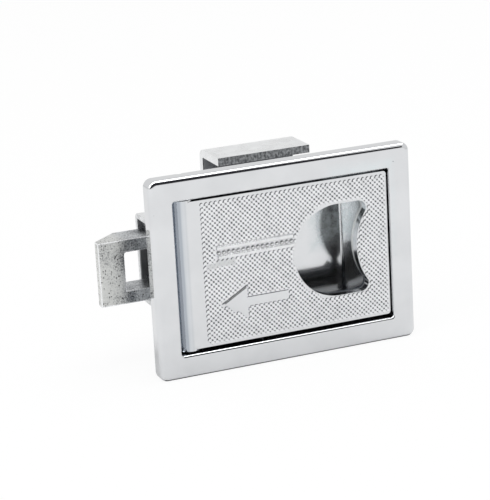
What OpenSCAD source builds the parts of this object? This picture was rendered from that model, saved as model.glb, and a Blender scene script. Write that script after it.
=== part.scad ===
// Concealed cabinet lock: a flush bezel with a pull paddle and a sprung slam bolt.
// Millimetres. +X to the right, +Y into the cabinet, +Z up.
// The origin is the centre of the panel cut-out, on the face that the bezel seats on.

/* [Bezel] */
// Width of the bezel
bezel_w = 90; // [86:1:110]
// Height of the bezel
bezel_h = 66; // [64:1:90]
// Thickness of the bezel in front of the panel
bezel_t = 5; // [4:0.5:7]
// Width of the rim round the opening
rim_w = 7.7; // [6.5:0.1:8.5]
// Radius of the bezel's outer corners
bezel_corner_r = 2.7; // [2.3:0.1:6]
// Rounding of the bezel's outer front edge
bezel_edge_r = 1.6; // [0.6:0.1:2.2]
// Rounding of the opening's front edge
lip_r = 0.8; // [0.3:0.1:1.2]
// Radius of the opening's corners
opening_corner_r = 0.8; // [0.4:0.1:0.9]

/* [Housing] */
// Thickness of the walls that pass through the panel
wall_t = 2.2; // [1.6:0.1:2.8]
// Depth of those walls behind the bezel
body_d = 13; // [12:0.5:14.5]
// Thickness of the shelf, the deck and the pan's walls
web_t = 2; // [1.4:0.1:2.2]
// Gap between the paddle's back and the shelf
shelf_gap = 1.9; // [1.7:0.1:3]
// Gap between the paddle's barrel and the deck
deck_gap = 1.1; // [0.5:0.1:2]

/* [Finger pan] */
// Width of the pan
pan_w = 31.7; // [28:0.1:33]
// Height of the pan
pan_h = 36.4; // [34:0.2:36.8]
// Depth of the pan's floor behind the panel face
pan_d = 13; // [10:0.5:13.5]
// Distance from the opening's right side to the pan's floor
pan_side = 9.6; // [9:0.1:12]
// Slope of the pan's right wall, from its floor to its mouth
pan_draft = 2.6; // [1.6:0.1:3]
// Round between the pan's floor and its right wall
pan_fillet = 1; // [0.5:0.1:1.5]

/* [Paddle] */
// Depth of the paddle's face below the bezel's face
paddle_recess = 1.7; // [1:0.1:2.5]
// Thickness of the paddle's plate
paddle_t = 2.6; // [2:0.1:3.2]
// Gap at each side of the paddle
paddle_gap_side = 0.35; // [0.3:0.05:1]
// Gap above and below the paddle's plate
paddle_gap_end = 1; // [0.6:0.1:2]
// Gap above and below the paddle's barrel
barrel_gap_end = 0.5; // [0.3:0.1:0.6]
// Radius of the barrel at the paddle's hinged edge
barrel_r = 4.1; // [3.8:0.1:4.6]
// Height of the barrel's crest above the plate's face
barrel_proud = 0.1; // [0.05:0.05:0.3]
// Radius of the plate's corners beside the barrel
strip_corner_r = 2; // [1:0.2:3]
// Radius of the plate's free corners
free_corner_r = 1; // [0.4:0.2:3]
// Swing of the paddle, degrees
paddle_swing = 35; // [25:1:36]

/* [Finger hole] */
// Radius of the hole's round side
hole_r = 15.4; // [12:0.2:16]
// Distance from the paddle's free edge to the centre of the round side
hole_side = 17.95; // [16:0.05:20]
// Height of the hole's centre above the paddle's middle
hole_z = 0.5; // [-1:0.1:1]
// Length of the hole beyond the centre of its round side
hole_run = 10.4; // [9:0.2:12]
// Radius of the hole's corners
hole_corner_r = 2.8; // [1:0.2:4]
// Radius of the grip tongue that bulges into the hole
tongue_r = 20.8; // [18:0.2:30]
// Reach of the tongue into the hole
tongue_bulge = 3.8; // [1:0.2:5]
// Width of the stiffening rim behind the hole
hole_rim_w = 1.6; // [1:0.1:2]
// Depth of that rim behind the plate
hole_rim_d = 1.6; // [0.8:0.1:1.6]

/* [Paddle pin] */
// Diameter of the pin
pin_d = 2.4; // [2:0.1:3]
// Radial running clearance between the pin and the barrel
pin_clear = 0.05; // [0.02:0.01:0.1]
// Wall left under the pin's blind end
pin_end_wall = 0.8; // [0.6:0.1:1.2]
// Set-back of the pin's driven end in the wall
pin_set = 0.2; // [0.1:0.1:0.5]

/* [Lever] */
// Reach of the lever's tip centre behind the pin
lever_reach = 18; // [16:0.5:18.5]
// Thickness of the lever
lever_t = 4; // [3:0.2:5]
// Width of the lever
lever_w = 12; // [8:0.2:12.4]
// Gap between the lever and the end of the bolt's window
lever_gap = 0.3; // [0.25:0.05:0.5]
// Gap round the lever where it passes the deck
lever_slot_gap = 0.6; // [0.4:0.1:1]

/* [Bolt] */
// Height of the bolt's nose
bolt_h = 21.2; // [18:0.2:22]
// Thickness of the bolt's nose
bolt_t = 10; // [8:0.5:11]
// Reach of the nose past the bezel's edge
bolt_reach = 12.1; // [10:0.1:14]
// Length of the bevel behind the nose
bevel_l = 8.6; // [6:0.2:10]
// Thickness of the nose at its tip
tip_t = 2.8; // [2:0.2:4]
// Solid length ahead of the window
tip_solid = 8.6; // [6:0.2:10]
// Height of the window
window_h = 13; // [12.8:0.1:14]
// Radius of the window's corners
window_corner_r = 1; // [0.4:0.1:1.6]
// Step of the bolt's root in front of the nose
root_step = 4.7; // [4:0.1:6]
// Distance the root stands out of the side wall
shoulder_out = 1.1; // [0.6:0.1:1.6]
// Thickness behind the window
bolt_end_t = 3; // [2.6:0.1:3.4]
// Height of the bolt's head inside the guide
head_h = 25.4; // [24:0.2:26]
// Step of the head behind the nose
head_step = 3.4; // [2:0.2:4]
// Gap between the head and the wall that stops it
head_gap = 0.3; // [0.2:0.05:0.5]
// Sliding clearance round the bolt
slide_gap = 0.3; // [0.2:0.05:0.4]
// Travel of the bolt
bolt_travel = 10.67; // [8:0.01:11]

/* [Guide] */
// Thickness of the guide's sheet
guide_t = 1.8; // [1.2:0.1:2]
// Width of each flange
guide_flange_w = 9; // [8.6:0.1:10]
// Bend radius outside the guide's rear corners
guide_bend_r = 2.4; // [2:0.1:3]
// Set-back of the guide's mouth from the side wall
guide_setback = 0.8; // [0.4:0.1:1.5]
// Distance between the screws along the guide
guide_screw_pitch = 11; // [10:0.5:12]
// Distance from the guide's mouth to the first screw
guide_screw_edge = 5.5; // [5:0.5:6.5]
// Distance from the channel's side to the screws
guide_screw_side = 5.4; // [5.2:0.1:5.6]

/* [Small screws] */
// Diameter of the small screws
small_d = 3; // [2.5:0.1:3]
// Diameter of their heads
small_head_d = 5.5; // [5:0.1:5.8]
// Height of their heads
small_head_h = 1.6; // [1.4:0.1:1.8]
// Length of their shanks in the casting
small_grip = 4; // [3:0.2:4.4]
// Radius of the bosses that take them
small_boss_r = 3; // [2.6:0.1:3.2]
// Diameter of their washers
small_washer_d = 6.4; // [6:0.1:6.8]
// Thickness of their washers
small_washer_t = 0.5; // [0.3:0.1:0.6]
// Radial clearance of small screws in their holes
small_clear = 0.05; // [0.02:0.01:0.1]
// Depth of the screw holes past the screws' tips
tip_gap = 0.3; // [0.2:0.1:1]

/* [Springs] */
// Wire diameter of the bolt spring
spring_wire = 0.7; // [0.5:0.05:0.8]
// Turns of the bolt spring
spring_turns = 11; // [8:1:14]
// Depth of the spring's seats
spring_seat = 0.8; // [0.5:0.1:1.2]
// Clearance round the bolt spring in its tunnel
spring_gap = 0.15; // [0.1:0.05:0.4]
// Wire diameter of the paddle spring
torsion_wire = 0.6; // [0.5:0.05:0.7]
// Turns of the paddle spring
torsion_turns = 6; // [4:1:8]
// Pitch of the paddle spring
torsion_pitch = 0.9; // [0.8:0.05:1]
// Gap round the paddle spring in its pocket
torsion_gap = 0.35; // [0.3:0.05:0.5]
// Gap between the paddle spring's leg and the deck
torsion_leg_gap = 0.1; // [0.05:0.05:0.3]
// Distance from the barrel's lower end to the paddle spring's middle
torsion_edge = 9.8; // [8:0.1:11]

/* [Spring cover] */
// Thickness of the cover
cover_t = 1.2; // [0.8:0.1:1.2]
// Height of the cover
cover_h = 24; // [20:0.5:28]
// Distance between the cover's screws
cover_screw_pitch = 15; // [14:0.5:16]

/* [Clamp] */
// Width of the strap
strap_w = 32; // [26:0.5:36]
// Gap between the strap and the guide
strap_gap = 1.48; // [0.5:0.02:2]
// Thickness of the strap
strap_t = 2.6; // [2:0.1:3]
// Gap between the strap's legs and the housing
strap_leg_gap = 2.7; // [2:0.1:4]
// Depth of the strap's legs, over the back
strap_leg_d = 16.6; // [16:0.2:20]
// Bend radius outside the strap's corners
strap_bend_r = 3; // [2.8:0.1:4]
// Panel gap under the strap's legs, with the clamp slack
panel_gap = 11.5; // [11.4:0.1:13]
// Travel of the clamp
clamp_travel = 9; // [6:0.1:9]
// Diameter of the clamp screws
clamp_d = 4; // [3:0.1:4.2]
// Distance from the body's top and bottom to the clamp screws
clamp_edge = 5; // [4.8:0.1:5.2]
// Radius of the bosses that take the clamp screws
clamp_boss_r = 3.8; // [3.4:0.1:3.8]
// Thread engaged with the clamp slack
clamp_engaged = 3.5; // [2:0.1:4]
// Diameter of the clamp screws' heads
clamp_head_d = 8; // [7:0.1:8.5]
// Height of the clamp screws' heads
clamp_head_h = 3; // [2.4:0.1:3.4]
// Diameter of the flat washers
clamp_washer_d = 9; // [8.6:0.1:10]
// Thickness of the flat washers
clamp_washer_t = 0.8; // [0.5:0.1:1.2]
// Diameter of the lock washers
lock_washer_d = 7.4; // [7:0.1:8]
// Thickness of the lock washers
lock_washer_t = 1; // [0.8:0.1:1.4]
// Width of the split in each lock washer
lock_washer_split = 0.6; // [0.3:0.1:1]
// Radial running clearance of the clamp screws in their bosses
clamp_clear = 0.05; // [0.02:0.01:0.1]
// Radial clearance of the clamp screws in the strap
clamp_hole_clear = 0.3; // [0.2:0.05:0.5]

/* [Hidden] */
$fn = 64;
// Overlap that carries a cut past a face
past = 1;
// Length and width of a screw's cross recess, as shares of its head
recess_long = 0.6;
recess_wide = 0.16;

// Opening and body
opening_w = bezel_w - 2 * rim_w;
opening_h = bezel_h - 2 * rim_w;
open_l = -opening_w / 2;
open_r = opening_w / 2;
open_t = opening_h / 2;
body_w = opening_w + 2 * wall_t;
body_h = opening_h + 2 * wall_t;

// Paddle
face_y = -bezel_t + paddle_recess;
back_y = face_y + paddle_t;
paddle_l = open_l + paddle_gap_side;
paddle_r = open_r - paddle_gap_side;
paddle_z = open_t - paddle_gap_end;
barrel_z = open_t - barrel_gap_end;
pin_x = paddle_l + barrel_r;
pin_y = face_y - barrel_proud + barrel_r;
pin_hole_r = pin_d / 2 + pin_clear;
hole_x = paddle_r - hole_side;

// Levels in the housing
shelf_y = back_y + shelf_gap;
deck_y = pin_y + barrel_r + deck_gap;
deck_back = deck_y + web_t;
pan_r = open_r - pan_side;
pan_l = pan_r - pan_w;
pan_slope = atan(pan_draft / (pan_d - shelf_y));
pan_back = pan_d + web_t;

// Bolt
bolt_y = deck_back + slide_gap;
nose_y = bolt_y + root_step;
nose_back = nose_y + bolt_t;
head_back = nose_back + head_step;
tip_x = -bezel_w / 2 - bolt_reach;
window_l = tip_x + tip_solid;
window_r = pin_x + lever_t / 2 + lever_gap;
bolt_r = window_r + bolt_end_t;
shoulder_x = -body_w / 2 - shoulder_out;
head_l = open_l + head_gap;

// Cavity and guide
cavity_r = bolt_r + bolt_travel + head_gap;
cavity_z = head_h / 2 + slide_gap;
guide_l = -body_w / 2 + guide_setback;
guide_z = cavity_z + guide_t;
guide_back = head_back + slide_gap + guide_t;
guide_screw_x = guide_l + guide_screw_edge;
guide_screw_z = cavity_z + guide_screw_side;

// Bolt spring
tunnel_r = pan_l - web_t;
spring_d = body_d - deck_back - 2 * spring_gap;
spring_y = (deck_back + body_d) / 2;
spring_l = bolt_r - spring_seat;
spring_end = tunnel_r + spring_seat;
tunnel_z = spring_d / 2 + spring_gap;
cover_x = (cavity_r + tunnel_r) / 2;

// Paddle spring
torsion_r = pin_d / 2 + torsion_gap + torsion_wire / 2;
torsion_h = torsion_turns * torsion_pitch;
pocket_r = torsion_r + torsion_wire / 2 + torsion_gap;
pocket_h = torsion_h + 2 * torsion_gap + torsion_wire;
torsion_z = -barrel_z + torsion_edge;

// Clamp
strap_l = cavity_r + strap_gap;
strap_in = body_h / 2 + strap_leg_gap;
strap_out = strap_in + strap_t;
strap_back = panel_gap + strap_leg_d;
strap_inner = strap_back - strap_t;
washer_back = strap_back + clamp_washer_t;
head_seat = washer_back + lock_washer_t;
clamp_x = strap_l + strap_w / 2;
clamp_z = body_h / 2 - clamp_edge;
clamp_tip = pan_back - clamp_engaged;
clamp_hole_end = clamp_tip - clamp_travel - tip_gap;

// A box between two corners
module box(a, b) {
    translate(a) cube(b - a);
}

// A flat outline in X and Z, extruded from y0 to y1
module wall_y(y0, y1) {
    translate([0, y1, 0]) rotate([90, 0, 0]) linear_extrude(y1 - y0) children();
}

// A cylinder along Y from y0 to y1
module rod_y(x, z, y0, y1, r) {
    translate([x, y1, z]) rotate([90, 0, 0]) cylinder(h = y1 - y0, r = r);
}

// A rectangle with round corners, from its centre
module round_rect(w, h, r) {
    square([w - 2 * r, h], center = true);
    square([w, h - 2 * r], center = true);
    for (sx = [-1, 1], sy = [-1, 1]) {
        translate([sx * (w / 2 - r), sy * (h / 2 - r)]) circle(r);
    }
}

// Section of the bezel's border, outwards along +X, front along +Y
module border_section() {
    square([bezel_corner_r - bezel_edge_r, bezel_t]);
    square([bezel_corner_r, bezel_t - bezel_edge_r]);
    intersection() {
        translate([bezel_corner_r - bezel_edge_r, bezel_t - bezel_edge_r]) circle(bezel_edge_r);
        square([bezel_corner_r, bezel_t]);
    }
}

// A section swept round a rectangle: straight along its sides and turned at its corners
module swept_border(w, h) {
    for (s = [0, 1]) {
        rotate([0, 0, 180 * s]) {
            translate([w / 2, h / 2, 0]) rotate([90, 0, 0]) linear_extrude(h) children();
            translate([w / 2, h / 2, 0]) rotate_extrude(angle = 90) children();
            translate([-w / 2, h / 2, 0]) rotate([90, 0, 90]) linear_extrude(w) children();
            translate([-w / 2, h / 2, 0]) rotate([0, 0, 90]) rotate_extrude(angle = 90) children();
        }
    }
}

// Bezel plate with round corners and a round front edge
module bezel_plate() {
    core_w = bezel_w - 2 * bezel_corner_r;
    core_h = bezel_h - 2 * bezel_corner_r;
    rotate([90, 0, 0]) {
        translate([-core_w / 2, -core_h / 2, 0]) cube([core_w, core_h, bezel_t]);
        swept_border(core_w, core_h) border_section();
    }
}

// Section cut away at the opening's rounded edge, outwards along +X, front along +Y
module lip_section() {
    difference() {
        translate([0, -lip_r]) square([opening_corner_r + lip_r, lip_r + past]);
        translate([opening_corner_r + lip_r, -lip_r]) circle(lip_r);
    }
}

// Opening down to a depth, with its rounded front edge
module opening_cut() {
    core_w = opening_w - 2 * opening_corner_r;
    core_h = opening_h - 2 * opening_corner_r;
    wall_y(-bezel_t - past, shelf_y) round_rect(opening_w, opening_h, opening_corner_r);
    translate([0, -bezel_t, 0]) rotate([90, 0, 0]) swept_border(core_w, core_h) lip_section();
}

// Places of the guide's four screws
module at_guide_screws() {
    for (i = [0, 1], s = [-1, 1]) {
        translate([guide_screw_x + i * guide_screw_pitch, 0, s * guide_screw_z]) children();
    }
}

// Places of the cover's two screws
module at_cover_screws() {
    for (s = [-1, 1]) {
        translate([cover_x, 0, s * cover_screw_pitch / 2]) children();
    }
}

// Section of the pan in X and Y: its right wall slopes out towards its mouth
module pan_outline(left, right, front, back) {
    polygon([
        [left, front],
        [right + pan_draft, front],
        [right + pan_draft, shelf_y],
        [right, back],
        [left, back]
    ]);
}

// Metal left in the corner between the pan's floor and its right wall
module pan_corner() {
    x = pan_r - pan_fillet / tan(45 + pan_slope / 2);
    y = pan_d - pan_fillet;
    reach = pan_fillet + past;
    difference() {
        polygon([
            [x, y],
            [x + reach * cos(pan_slope), y + reach * sin(pan_slope)],
            [pan_r + past, pan_d + past],
            [x, y + reach]
        ]);
        translate([x, y]) circle(pan_fillet);
    }
}

// Space inside the pan
module pan_space() {
    translate([0, 0, -pan_h / 2]) linear_extrude(pan_h) difference() {
        pan_outline(pan_l, pan_r, -bezel_t, pan_d);
        pan_corner();
    }
}

// Outside of the pan's walls
module pan_block() {
    h = pan_h + 2 * web_t;
    translate([0, 0, -h / 2]) linear_extrude(h) pan_outline(pan_l - web_t, pan_r + web_t, 0, pan_back);
}

// Space behind the shelf and the deck, with the ribs that stay
module rear_pockets() {
    shelf_back = shelf_y + web_t;
    far = body_d + past;
    box([pan_r + web_t, shelf_back, -open_t], [open_r, far, open_t]);
    for (s = [0, 1]) {
        mirror([0, 0, s]) {
            box([pan_l - web_t, shelf_back, pan_h / 2 + web_t], [open_r, far, open_t]);
            box([open_l, deck_back, cavity_z + web_t], [pan_l - 2 * web_t, far, open_t]);
        }
    }
}

// Bosses that stand in the rear pockets
module bosses() {
    for (s = [-1, 1]) {
        rod_y(clamp_x, s * clamp_z, shelf_y, pan_back, clamp_boss_r);
    }
    at_guide_screws() rod_y(0, 0, deck_y, body_d, small_boss_r);
}

// Chamber for the bolt's head, its mouth in the side wall and the spring's tunnel
module bolt_chamber() {
    far = body_d + past;
    box([open_l, deck_back, -cavity_z], [cavity_r, far, cavity_z]);
    mouth_z = bolt_h / 2 + slide_gap;
    box([-body_w / 2 - past, deck_back, -mouth_z], [open_l + past, far, mouth_z]);
    box([cavity_r - past, deck_back, -tunnel_z], [tunnel_r, far, tunnel_z]);
    translate([tunnel_r - past, spring_y, 0])
        rotate([0, 90, 0]) cylinder(h = spring_seat + past, r = tunnel_z);
}

// Slot in the deck for the lever's swing
module lever_slot() {
    reach = (deck_back - pin_y) * tan(paddle_swing) + lever_t / 2 / cos(paddle_swing);
    z = lever_w / 2 + lever_slot_gap;
    box([pin_x - lever_t / 2 - lever_slot_gap, deck_y - past, -z],
        [pin_x + reach + lever_slot_gap, deck_back + past, z]);
}

// Blind hole for a small screw
module small_hole() {
    rod_y(0, 0, body_d - small_grip - tip_gap, body_d + past, small_d / 2 + small_clear);
}

// Bezel, body, shelf, deck and pan in one casting
module housing() {
    color("gainsboro") difference() {
        union() {
            bezel_plate();
            difference() {
                box([-body_w / 2, -web_t, -body_h / 2], [body_w / 2, body_d, body_h / 2]);
                rear_pockets();
            }
            pan_block();
            bosses();
        }
        opening_cut();
        box([open_l, shelf_y - past, -open_t], [pan_l - web_t, deck_y, open_t]);
        pan_space();
        bolt_chamber();
        lever_slot();
        translate([pin_x, pin_y, -open_t - wall_t + pin_end_wall]) cylinder(h = bezel_h, r = pin_d / 2);
        for (s = [-1, 1]) {
            rod_y(clamp_x, s * clamp_z, clamp_hole_end, pan_back + past, clamp_d / 2 + clamp_clear);
        }
        at_guide_screws() small_hole();
        at_cover_screws() small_hole();
    }
}

// Finger hole's outline, grown by g on every side
module hole_outline(g) {
    r = hole_r + g;
    run = hole_run + g;
    c = hole_corner_r + g;
    difference() {
        union() {
            circle(r);
            translate([0, -r]) square([run - c, 2 * r]);
            translate([0, -r + c]) square([run, 2 * r - 2 * c]);
            for (s = [-1, 1]) {
                translate([run - c, s * (r - c)]) circle(c);
            }
        }
        translate([hole_run - tongue_bulge + tongue_r, 0]) circle(tongue_r - g);
    }
}

// Outline of the paddle's plate, with its own radius at the barrel's side and at the free side
module plate_outline() {
    l = pin_x;
    a = strip_corner_r;
    b = free_corner_r;
    translate([l + a, -paddle_z]) square([paddle_r - b - l - a, 2 * paddle_z]);
    translate([l, -paddle_z + a]) square([2 * a, 2 * paddle_z - 2 * a]);
    translate([paddle_r - 2 * b, -paddle_z + b]) square([2 * b, 2 * paddle_z - 2 * b]);
    for (s = [-1, 1]) {
        translate([l + a, s * (paddle_z - a)]) circle(a);
        translate([paddle_r - b, s * (paddle_z - b)]) circle(b);
    }
}

// Pull plate with its barrel, finger hole and lever
module paddle() {
    color("silver") difference() {
        union() {
            wall_y(face_y, back_y) plate_outline();
            translate([pin_x, pin_y, -barrel_z]) cylinder(h = 2 * barrel_z, r = barrel_r);
            translate([hole_x, 0, hole_z])
                wall_y(back_y - paddle_t / 2, back_y + hole_rim_d) hole_outline(hole_rim_w);
            box([pin_x - lever_t / 2, pin_y, -lever_w / 2],
                [pin_x + lever_t / 2, pin_y + lever_reach, lever_w / 2]);
            translate([pin_x, pin_y + lever_reach, -lever_w / 2]) cylinder(h = lever_w, r = lever_t / 2);
        }
        translate([hole_x, 0, hole_z]) wall_y(face_y - past, back_y + hole_rim_d + past) hole_outline(0);
        translate([pin_x, pin_y, -bezel_h / 2]) cylinder(h = bezel_h, r = pin_hole_r);
        translate([pin_x, pin_y, torsion_z - pocket_h / 2]) cylinder(h = pocket_h, r = pocket_r);
        box([pin_x - pocket_r, pin_y, torsion_z - pocket_h / 2],
            [pin_x + pocket_r, pin_y + barrel_r + past, torsion_z + pocket_h / 2]);
    }
}

// Pin that the paddle swings on
module paddle_pin() {
    color("lightslategray")
        translate([pin_x, pin_y, -open_t - wall_t + pin_end_wall])
            cylinder(h = 2 * open_t + 2 * wall_t - pin_end_wall - pin_set, r = pin_d / 2);
}

function unit(v) = v / norm(v);
function tangent(p, i) = unit(p[min(i + 1, len(p) - 1)] - p[max(i - 1, 0)]);

// One ring of a wire: its points round the path's point i, in the plane across the wire
function ring(p, i, r, n) =
    let (t = tangent(p, i), a = unit(cross(t, [0, 0, 1])), b = cross(a, t))
    [for (k = [0:n - 1]) p[i] + r * (cos(360 * k / n) * a + sin(360 * k / n) * b)];

// Round wire along a path that never points straight up
module wire(p, r, n = 8) {
    m = len(p);
    points = [for (i = [0:m - 1]) each ring(p, i, r, n)];
    sides = [for (i = [0:m - 2], k = [0:n - 1])
        each [
            [i * n + k, (i + 1) * n + k, i * n + (k + 1) % n],
            [i * n + (k + 1) % n, (i + 1) * n + k, (i + 1) * n + (k + 1) % n]
        ]];
    caps = [[for (k = [0:n - 1]) k], [for (k = [n - 1:-1:0]) (m - 1) * n + k]];
    polyhedron(points, concat(sides, caps));
}

// Points of a coil round Z, from z0 upwards
function coil(r, turns, pitch, z0, steps = 14) =
    [for (i = [0:turns * steps])
        [r * cos(360 * i / steps), r * sin(360 * i / steps), z0 + pitch * i / steps]];

// Torsion spring in the barrel's pocket, one leg on the deck and one behind the plate
module paddle_spring() {
    z0 = torsion_z - torsion_h / 2;
    leg = deck_y - pin_y - torsion_wire / 2 - torsion_leg_gap;
    path = concat(
        [[torsion_r, leg, z0], [torsion_r, leg / 2, z0]],
        coil(torsion_r, torsion_turns, torsion_pitch, z0)
    );
    color("dimgray") translate([pin_x, pin_y, 0]) wire(path, torsion_wire / 2);
}

// Slam bolt: bevelled nose, stepped root, head and window
module latch_bolt() {
    nose = [
        [tip_x, nose_y],
        [head_l, nose_y],
        [head_l, nose_back],
        [tip_x + bevel_l, nose_back],
        [tip_x, nose_y + tip_t]
    ];
    color("darkgray") difference() {
        union() {
            translate([0, 0, -bolt_h / 2]) linear_extrude(bolt_h) polygon(nose);
            box([shoulder_x, bolt_y, -bolt_h / 2], [head_l, nose_back, bolt_h / 2]);
            box([head_l, bolt_y, -head_h / 2], [bolt_r, head_back, head_h / 2]);
        }
        translate([(window_l + window_r) / 2, 0, 0])
            wall_y(bolt_y - past, head_back + past)
                round_rect(window_r - window_l, window_h, window_corner_r);
        translate([bolt_r - spring_seat, spring_y, 0])
            rotate([0, 90, 0]) cylinder(h = spring_seat + past, r = tunnel_z);
    }
}

// Compression spring behind the bolt
module bolt_spring() {
    l = spring_end - spring_l;
    lift = (l - spring_wire) / spring_turns;
    color("dimgray") translate([spring_l, spring_y, 0]) rotate([0, 90, 0])
        wire(coil((spring_d - spring_wire) / 2, spring_turns, lift, spring_wire / 2), spring_wire / 2);
}

// Section of the guide in Y and Z: a channel with two flanges
module guide_section() {
    depth = guide_back - body_d;
    difference() {
        union() {
            translate([0, -guide_z]) square([depth - guide_bend_r, 2 * guide_z]);
            translate([0, -guide_z + guide_bend_r]) square([depth, 2 * guide_z - 2 * guide_bend_r]);
            for (s = [-1, 1]) {
                translate([depth - guide_bend_r, s * (guide_z - guide_bend_r)]) circle(guide_bend_r);
            }
            translate([0, -guide_z - guide_flange_w + guide_t])
                square([guide_t, 2 * (guide_z + guide_flange_w - guide_t)]);
        }
        translate([-past, -cavity_z]) square([depth - guide_t + past, 2 * cavity_z]);
    }
}

// Formed steel channel that carries the bolt's head
module bolt_guide() {
    color("lightsteelblue") difference() {
        translate([guide_l, body_d, 0])
            rotate([90, 0, 90]) linear_extrude(cavity_r - guide_l) guide_section();
        at_guide_screws() rod_y(0, 0, body_d - past, body_d + guide_t + past, small_d / 2 + small_clear);
    }
}

// Pan-head screw along Y: its head's seat at y and its shank towards -Y
module screw(y, d, l, head_d, head_h) {
    difference() {
        union() {
            rod_y(0, 0, y - l, y, d / 2);
            rod_y(0, 0, y, y + head_h, head_d / 2);
        }
        for (a = [0, 90]) {
            translate([0, y + head_h, 0]) rotate([0, a, 0])
                cube([head_d * recess_long, head_h, head_d * recess_wide], center = true);
        }
    }
}

// Flat ring along Y from y
module washer(y, t, d, hole) {
    difference() {
        rod_y(0, 0, y, y + t, d / 2);
        rod_y(0, 0, y - past, y + t + past, hole / 2);
    }
}

// Four screws of the guide
module guide_screws() {
    seat = body_d + guide_t + small_washer_t;
    color("slategray") at_guide_screws()
        screw(seat, small_d, small_grip + guide_t + small_washer_t, small_head_d, small_head_h);
}

// Four washers of the guide
module guide_washers() {
    color("slategray") at_guide_screws()
        washer(body_d + guide_t, small_washer_t, small_washer_d, small_d + 2 * small_clear);
}

// Plate over the spring's tunnel
module spring_cover() {
    color("lightsteelblue") difference() {
        box([cavity_r + head_gap, body_d, -cover_h / 2],
            [tunnel_r - head_gap, body_d + cover_t, cover_h / 2]);
        at_cover_screws() rod_y(0, 0, body_d - past, body_d + cover_t + past, small_d / 2 + small_clear);
    }
}

// Two screws of the cover
module cover_screws() {
    color("slategray") at_cover_screws()
        screw(body_d + cover_t, small_d, small_grip + cover_t, small_head_d, small_head_h);
}

// Section of the strap in Y and Z
module strap_section() {
    r = strap_bend_r - strap_t;
    difference() {
        union() {
            translate([panel_gap, -strap_out]) square([strap_leg_d - strap_bend_r, 2 * strap_out]);
            translate([panel_gap, -strap_out + strap_bend_r])
                square([strap_leg_d, 2 * strap_out - 2 * strap_bend_r]);
            for (s = [-1, 1]) {
                translate([strap_back - strap_bend_r, s * (strap_out - strap_bend_r)]) circle(strap_bend_r);
            }
        }
        translate([panel_gap - past, -strap_in]) square([strap_leg_d - strap_t + past - r, 2 * strap_in]);
        translate([panel_gap - past, -strap_in + r])
            square([strap_leg_d - strap_t + past, 2 * strap_in - 2 * r]);
        for (s = [-1, 1]) {
            translate([strap_inner - r, s * (strap_in - r)]) circle(r);
        }
    }
}

// U strap that grips the panel from behind
module clamp_strap() {
    color("lightgray") difference() {
        translate([strap_l, 0, 0]) rotate([90, 0, 90]) linear_extrude(strap_w) strap_section();
        for (s = [-1, 1]) {
            rod_y(clamp_x, s * clamp_z, strap_inner - past, strap_back + past,
                clamp_d / 2 + clamp_hole_clear);
        }
    }
}

// Clamp screw at a height
module clamp_screw(z) {
    color("slategray") translate([clamp_x, 0, z])
        screw(head_seat, clamp_d, head_seat - clamp_tip, clamp_head_d, clamp_head_h);
}

// Upper clamp screw
module clamp_screw_top() {
    clamp_screw(clamp_z);
}

// Lower clamp screw
module clamp_screw_bottom() {
    clamp_screw(-clamp_z);
}

// Flat washers on the strap
module clamp_washers() {
    color("slategray") for (s = [-1, 1]) {
        translate([clamp_x, 0, s * clamp_z])
            washer(strap_back, clamp_washer_t, clamp_washer_d, clamp_d + 2 * clamp_hole_clear);
    }
}

// Split lock washers under the screws' heads
module clamp_lock_washers() {
    color("slategray") for (s = [-1, 1]) {
        translate([clamp_x, 0, s * clamp_z]) difference() {
            washer(washer_back, lock_washer_t, lock_washer_d, clamp_d + 2 * clamp_hole_clear);
            box([0, washer_back - past, -lock_washer_split / 2],
                [lock_washer_d, head_seat + past, lock_washer_split / 2]);
        }
    }
}

housing();
paddle();
paddle_pin();
paddle_spring();
latch_bolt();
bolt_spring();
bolt_guide();
guide_screws();
guide_washers();
spring_cover();
cover_screws();
clamp_strap();
clamp_screw_top();
clamp_screw_bottom();
clamp_washers();
clamp_lock_washers();
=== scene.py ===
import logging
import math
from collections.abc import Callable, Sequence
from dataclasses import dataclass
from enum import Enum

import bmesh
import bpy
import numpy as np
from mathutils import Matrix, Vector


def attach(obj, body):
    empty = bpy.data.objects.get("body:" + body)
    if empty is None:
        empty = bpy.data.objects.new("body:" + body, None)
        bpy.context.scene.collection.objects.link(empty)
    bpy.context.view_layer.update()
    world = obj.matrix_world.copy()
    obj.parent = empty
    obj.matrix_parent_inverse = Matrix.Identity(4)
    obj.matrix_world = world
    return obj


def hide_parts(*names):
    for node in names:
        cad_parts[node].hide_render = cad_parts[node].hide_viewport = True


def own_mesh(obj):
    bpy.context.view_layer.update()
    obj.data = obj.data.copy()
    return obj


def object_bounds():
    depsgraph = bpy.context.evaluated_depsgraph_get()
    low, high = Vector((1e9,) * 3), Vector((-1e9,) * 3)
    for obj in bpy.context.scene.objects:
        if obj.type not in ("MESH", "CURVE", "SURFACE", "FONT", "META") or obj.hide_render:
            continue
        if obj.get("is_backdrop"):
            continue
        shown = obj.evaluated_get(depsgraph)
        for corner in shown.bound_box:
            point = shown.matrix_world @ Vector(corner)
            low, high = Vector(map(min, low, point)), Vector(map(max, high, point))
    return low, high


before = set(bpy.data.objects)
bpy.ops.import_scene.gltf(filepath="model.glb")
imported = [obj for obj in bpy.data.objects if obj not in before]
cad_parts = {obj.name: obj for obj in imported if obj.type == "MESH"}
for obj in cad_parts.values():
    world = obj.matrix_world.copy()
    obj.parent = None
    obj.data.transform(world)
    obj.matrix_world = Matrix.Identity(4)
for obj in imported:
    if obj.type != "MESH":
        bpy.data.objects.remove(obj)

LOG = logging.getLogger("cabinet_lock")
MM = 0.001

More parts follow.
